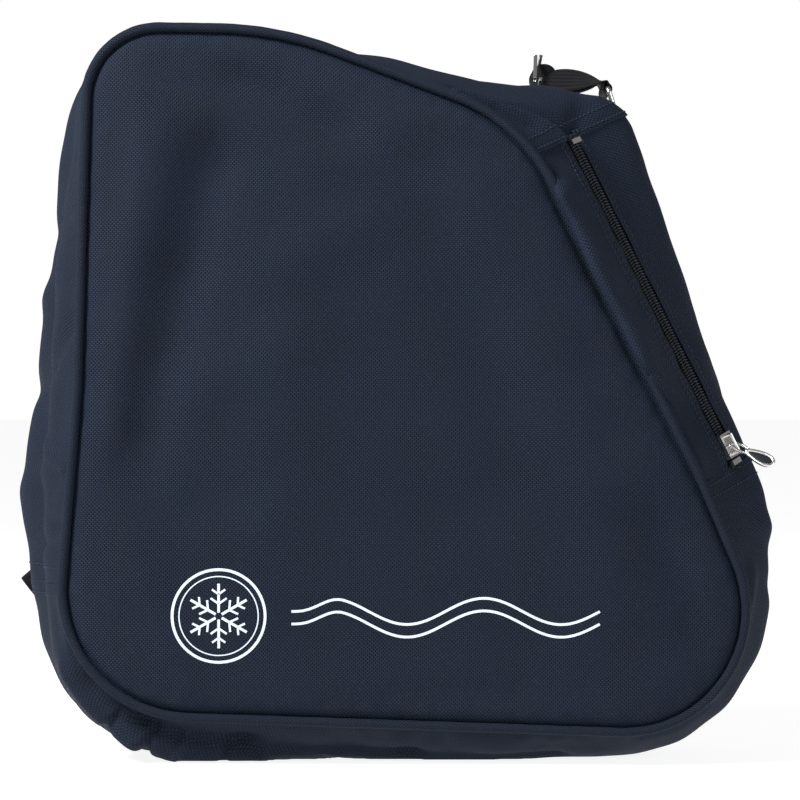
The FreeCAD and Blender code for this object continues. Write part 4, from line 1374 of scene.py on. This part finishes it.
# %% Metal pieces kept from the engineered model
def rounded_edges(name, mat, wide):
    """Keep an engineered piece and round its edges."""
    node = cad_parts[name]
    m = node.modifiers.new("edges", "BEVEL")
    m.width, m.segments, m.limit_method, m.angle_limit = wide * MM, 3, "ANGLE", math.radians(40)
    m.harden_normals = False
    node.data.materials.clear()
    node.data.materials.append(mat)
    return node


for name, mat, wide in (("slider_body", nickel, 0.35), ("slider_bridge", nickel, 0.1),
                        ("zip_stop_upper", nickel, 0.3), ("zip_stop_lower", nickel, 0.3)):
    print("rounded the edges of", rounded_edges(name, mat, wide).name)

# %% [markdown]
# Each piece of cloth carries its flat cut as its UV. Cloth cannot stretch, so a surface
# with far more area than its pattern would be wrong. The cuts of the bands and of the
# strap are measured on the smooth pieces themselves, so for those the test only shows
# how much the wrinkles add.

# %% Flat cuts
print("each piece of cloth carries its flat cut as its UV")

# %% [markdown]
# The bag stands on a pale floor in soft light. A large lamp high on the left gives the
# upper left of the panel its lighter tone and lets the seams cast thin shadows; a
# weaker one on the right keeps the zip readable. The camera looks level from the
# front, far enough away that the sides of the bag barely show.

# %% Floor, lights and camera
WIDE = 30000.0
floor = grid_mesh("studio_floor", np.array([[(x, y, 0.0) for y in (-WIDE, WIDE)] for x in (-WIDE, WIDE)]))
floor_paint = plain("pale_floor", (0.30, 0.30, 0.30), 0.6, 0.05, 0.0001, 0.01, shine=0.2)
glow = floor_paint.node_tree.nodes["Principled BSDF"]
glow.inputs["Emission Color"].default_value = (1.0, 1.0, 1.0, 1.0)
glow.inputs["Emission Strength"].default_value = 0.88
floor.data.materials.append(floor_paint)


def lamp(name, place, aim, size, power):
    """Square soft light that points from one place to another, in metres."""
    data = bpy.data.lights.new(name, "AREA")
    data.energy, data.size = power, size
    thing = bpy.data.objects.new(name, data)
    bpy.context.scene.collection.objects.link(thing)
    thing.location = place
    thing.rotation_euler = (Vector(aim) - thing.location).to_track_quat("-Z", "Y").to_euler()
    return thing


lamp("key_light", (-1.35, -0.85, 1.6), (-0.05, 0, 0.26), 0.6, 82.0)
lamp("fill_light", (1.9, -1.6, 1.0), (0, 0, 0.22), 1.4, 20.0)
world = bpy.data.worlds.new("white_room")
world.use_nodes = True
room = world.node_tree
room.nodes["Background"].inputs["Color"].default_value = (1.0, 1.0, 1.0, 1.0)
seen = room.nodes.new("ShaderNodeLightPath").outputs["Is Camera Ray"]
level = room.nodes.new("ShaderNodeMapRange")
level.inputs["To Min"].default_value, level.inputs["To Max"].default_value = 0.20, 1.0
room.links.new(seen, level.inputs["Value"])
room.links.new(level.outputs[0], room.nodes["Background"].inputs["Strength"])
bpy.context.scene.world = world
bpy.context.scene.view_settings.view_transform = "Standard"

camera_data = bpy.data.cameras.new("camera")
camera_data.lens, camera_data.sensor_width = 133.9, 36.0
camera = bpy.data.objects.new("camera", camera_data)
camera.location = (0.0, -1.766, 0.2103)
camera.rotation_euler = (math.pi / 2, 0.0, 0.0)
bpy.context.scene.collection.objects.link(camera)
bpy.context.scene.camera = camera
print("the camera stands", -camera.location[1], "metres in front")
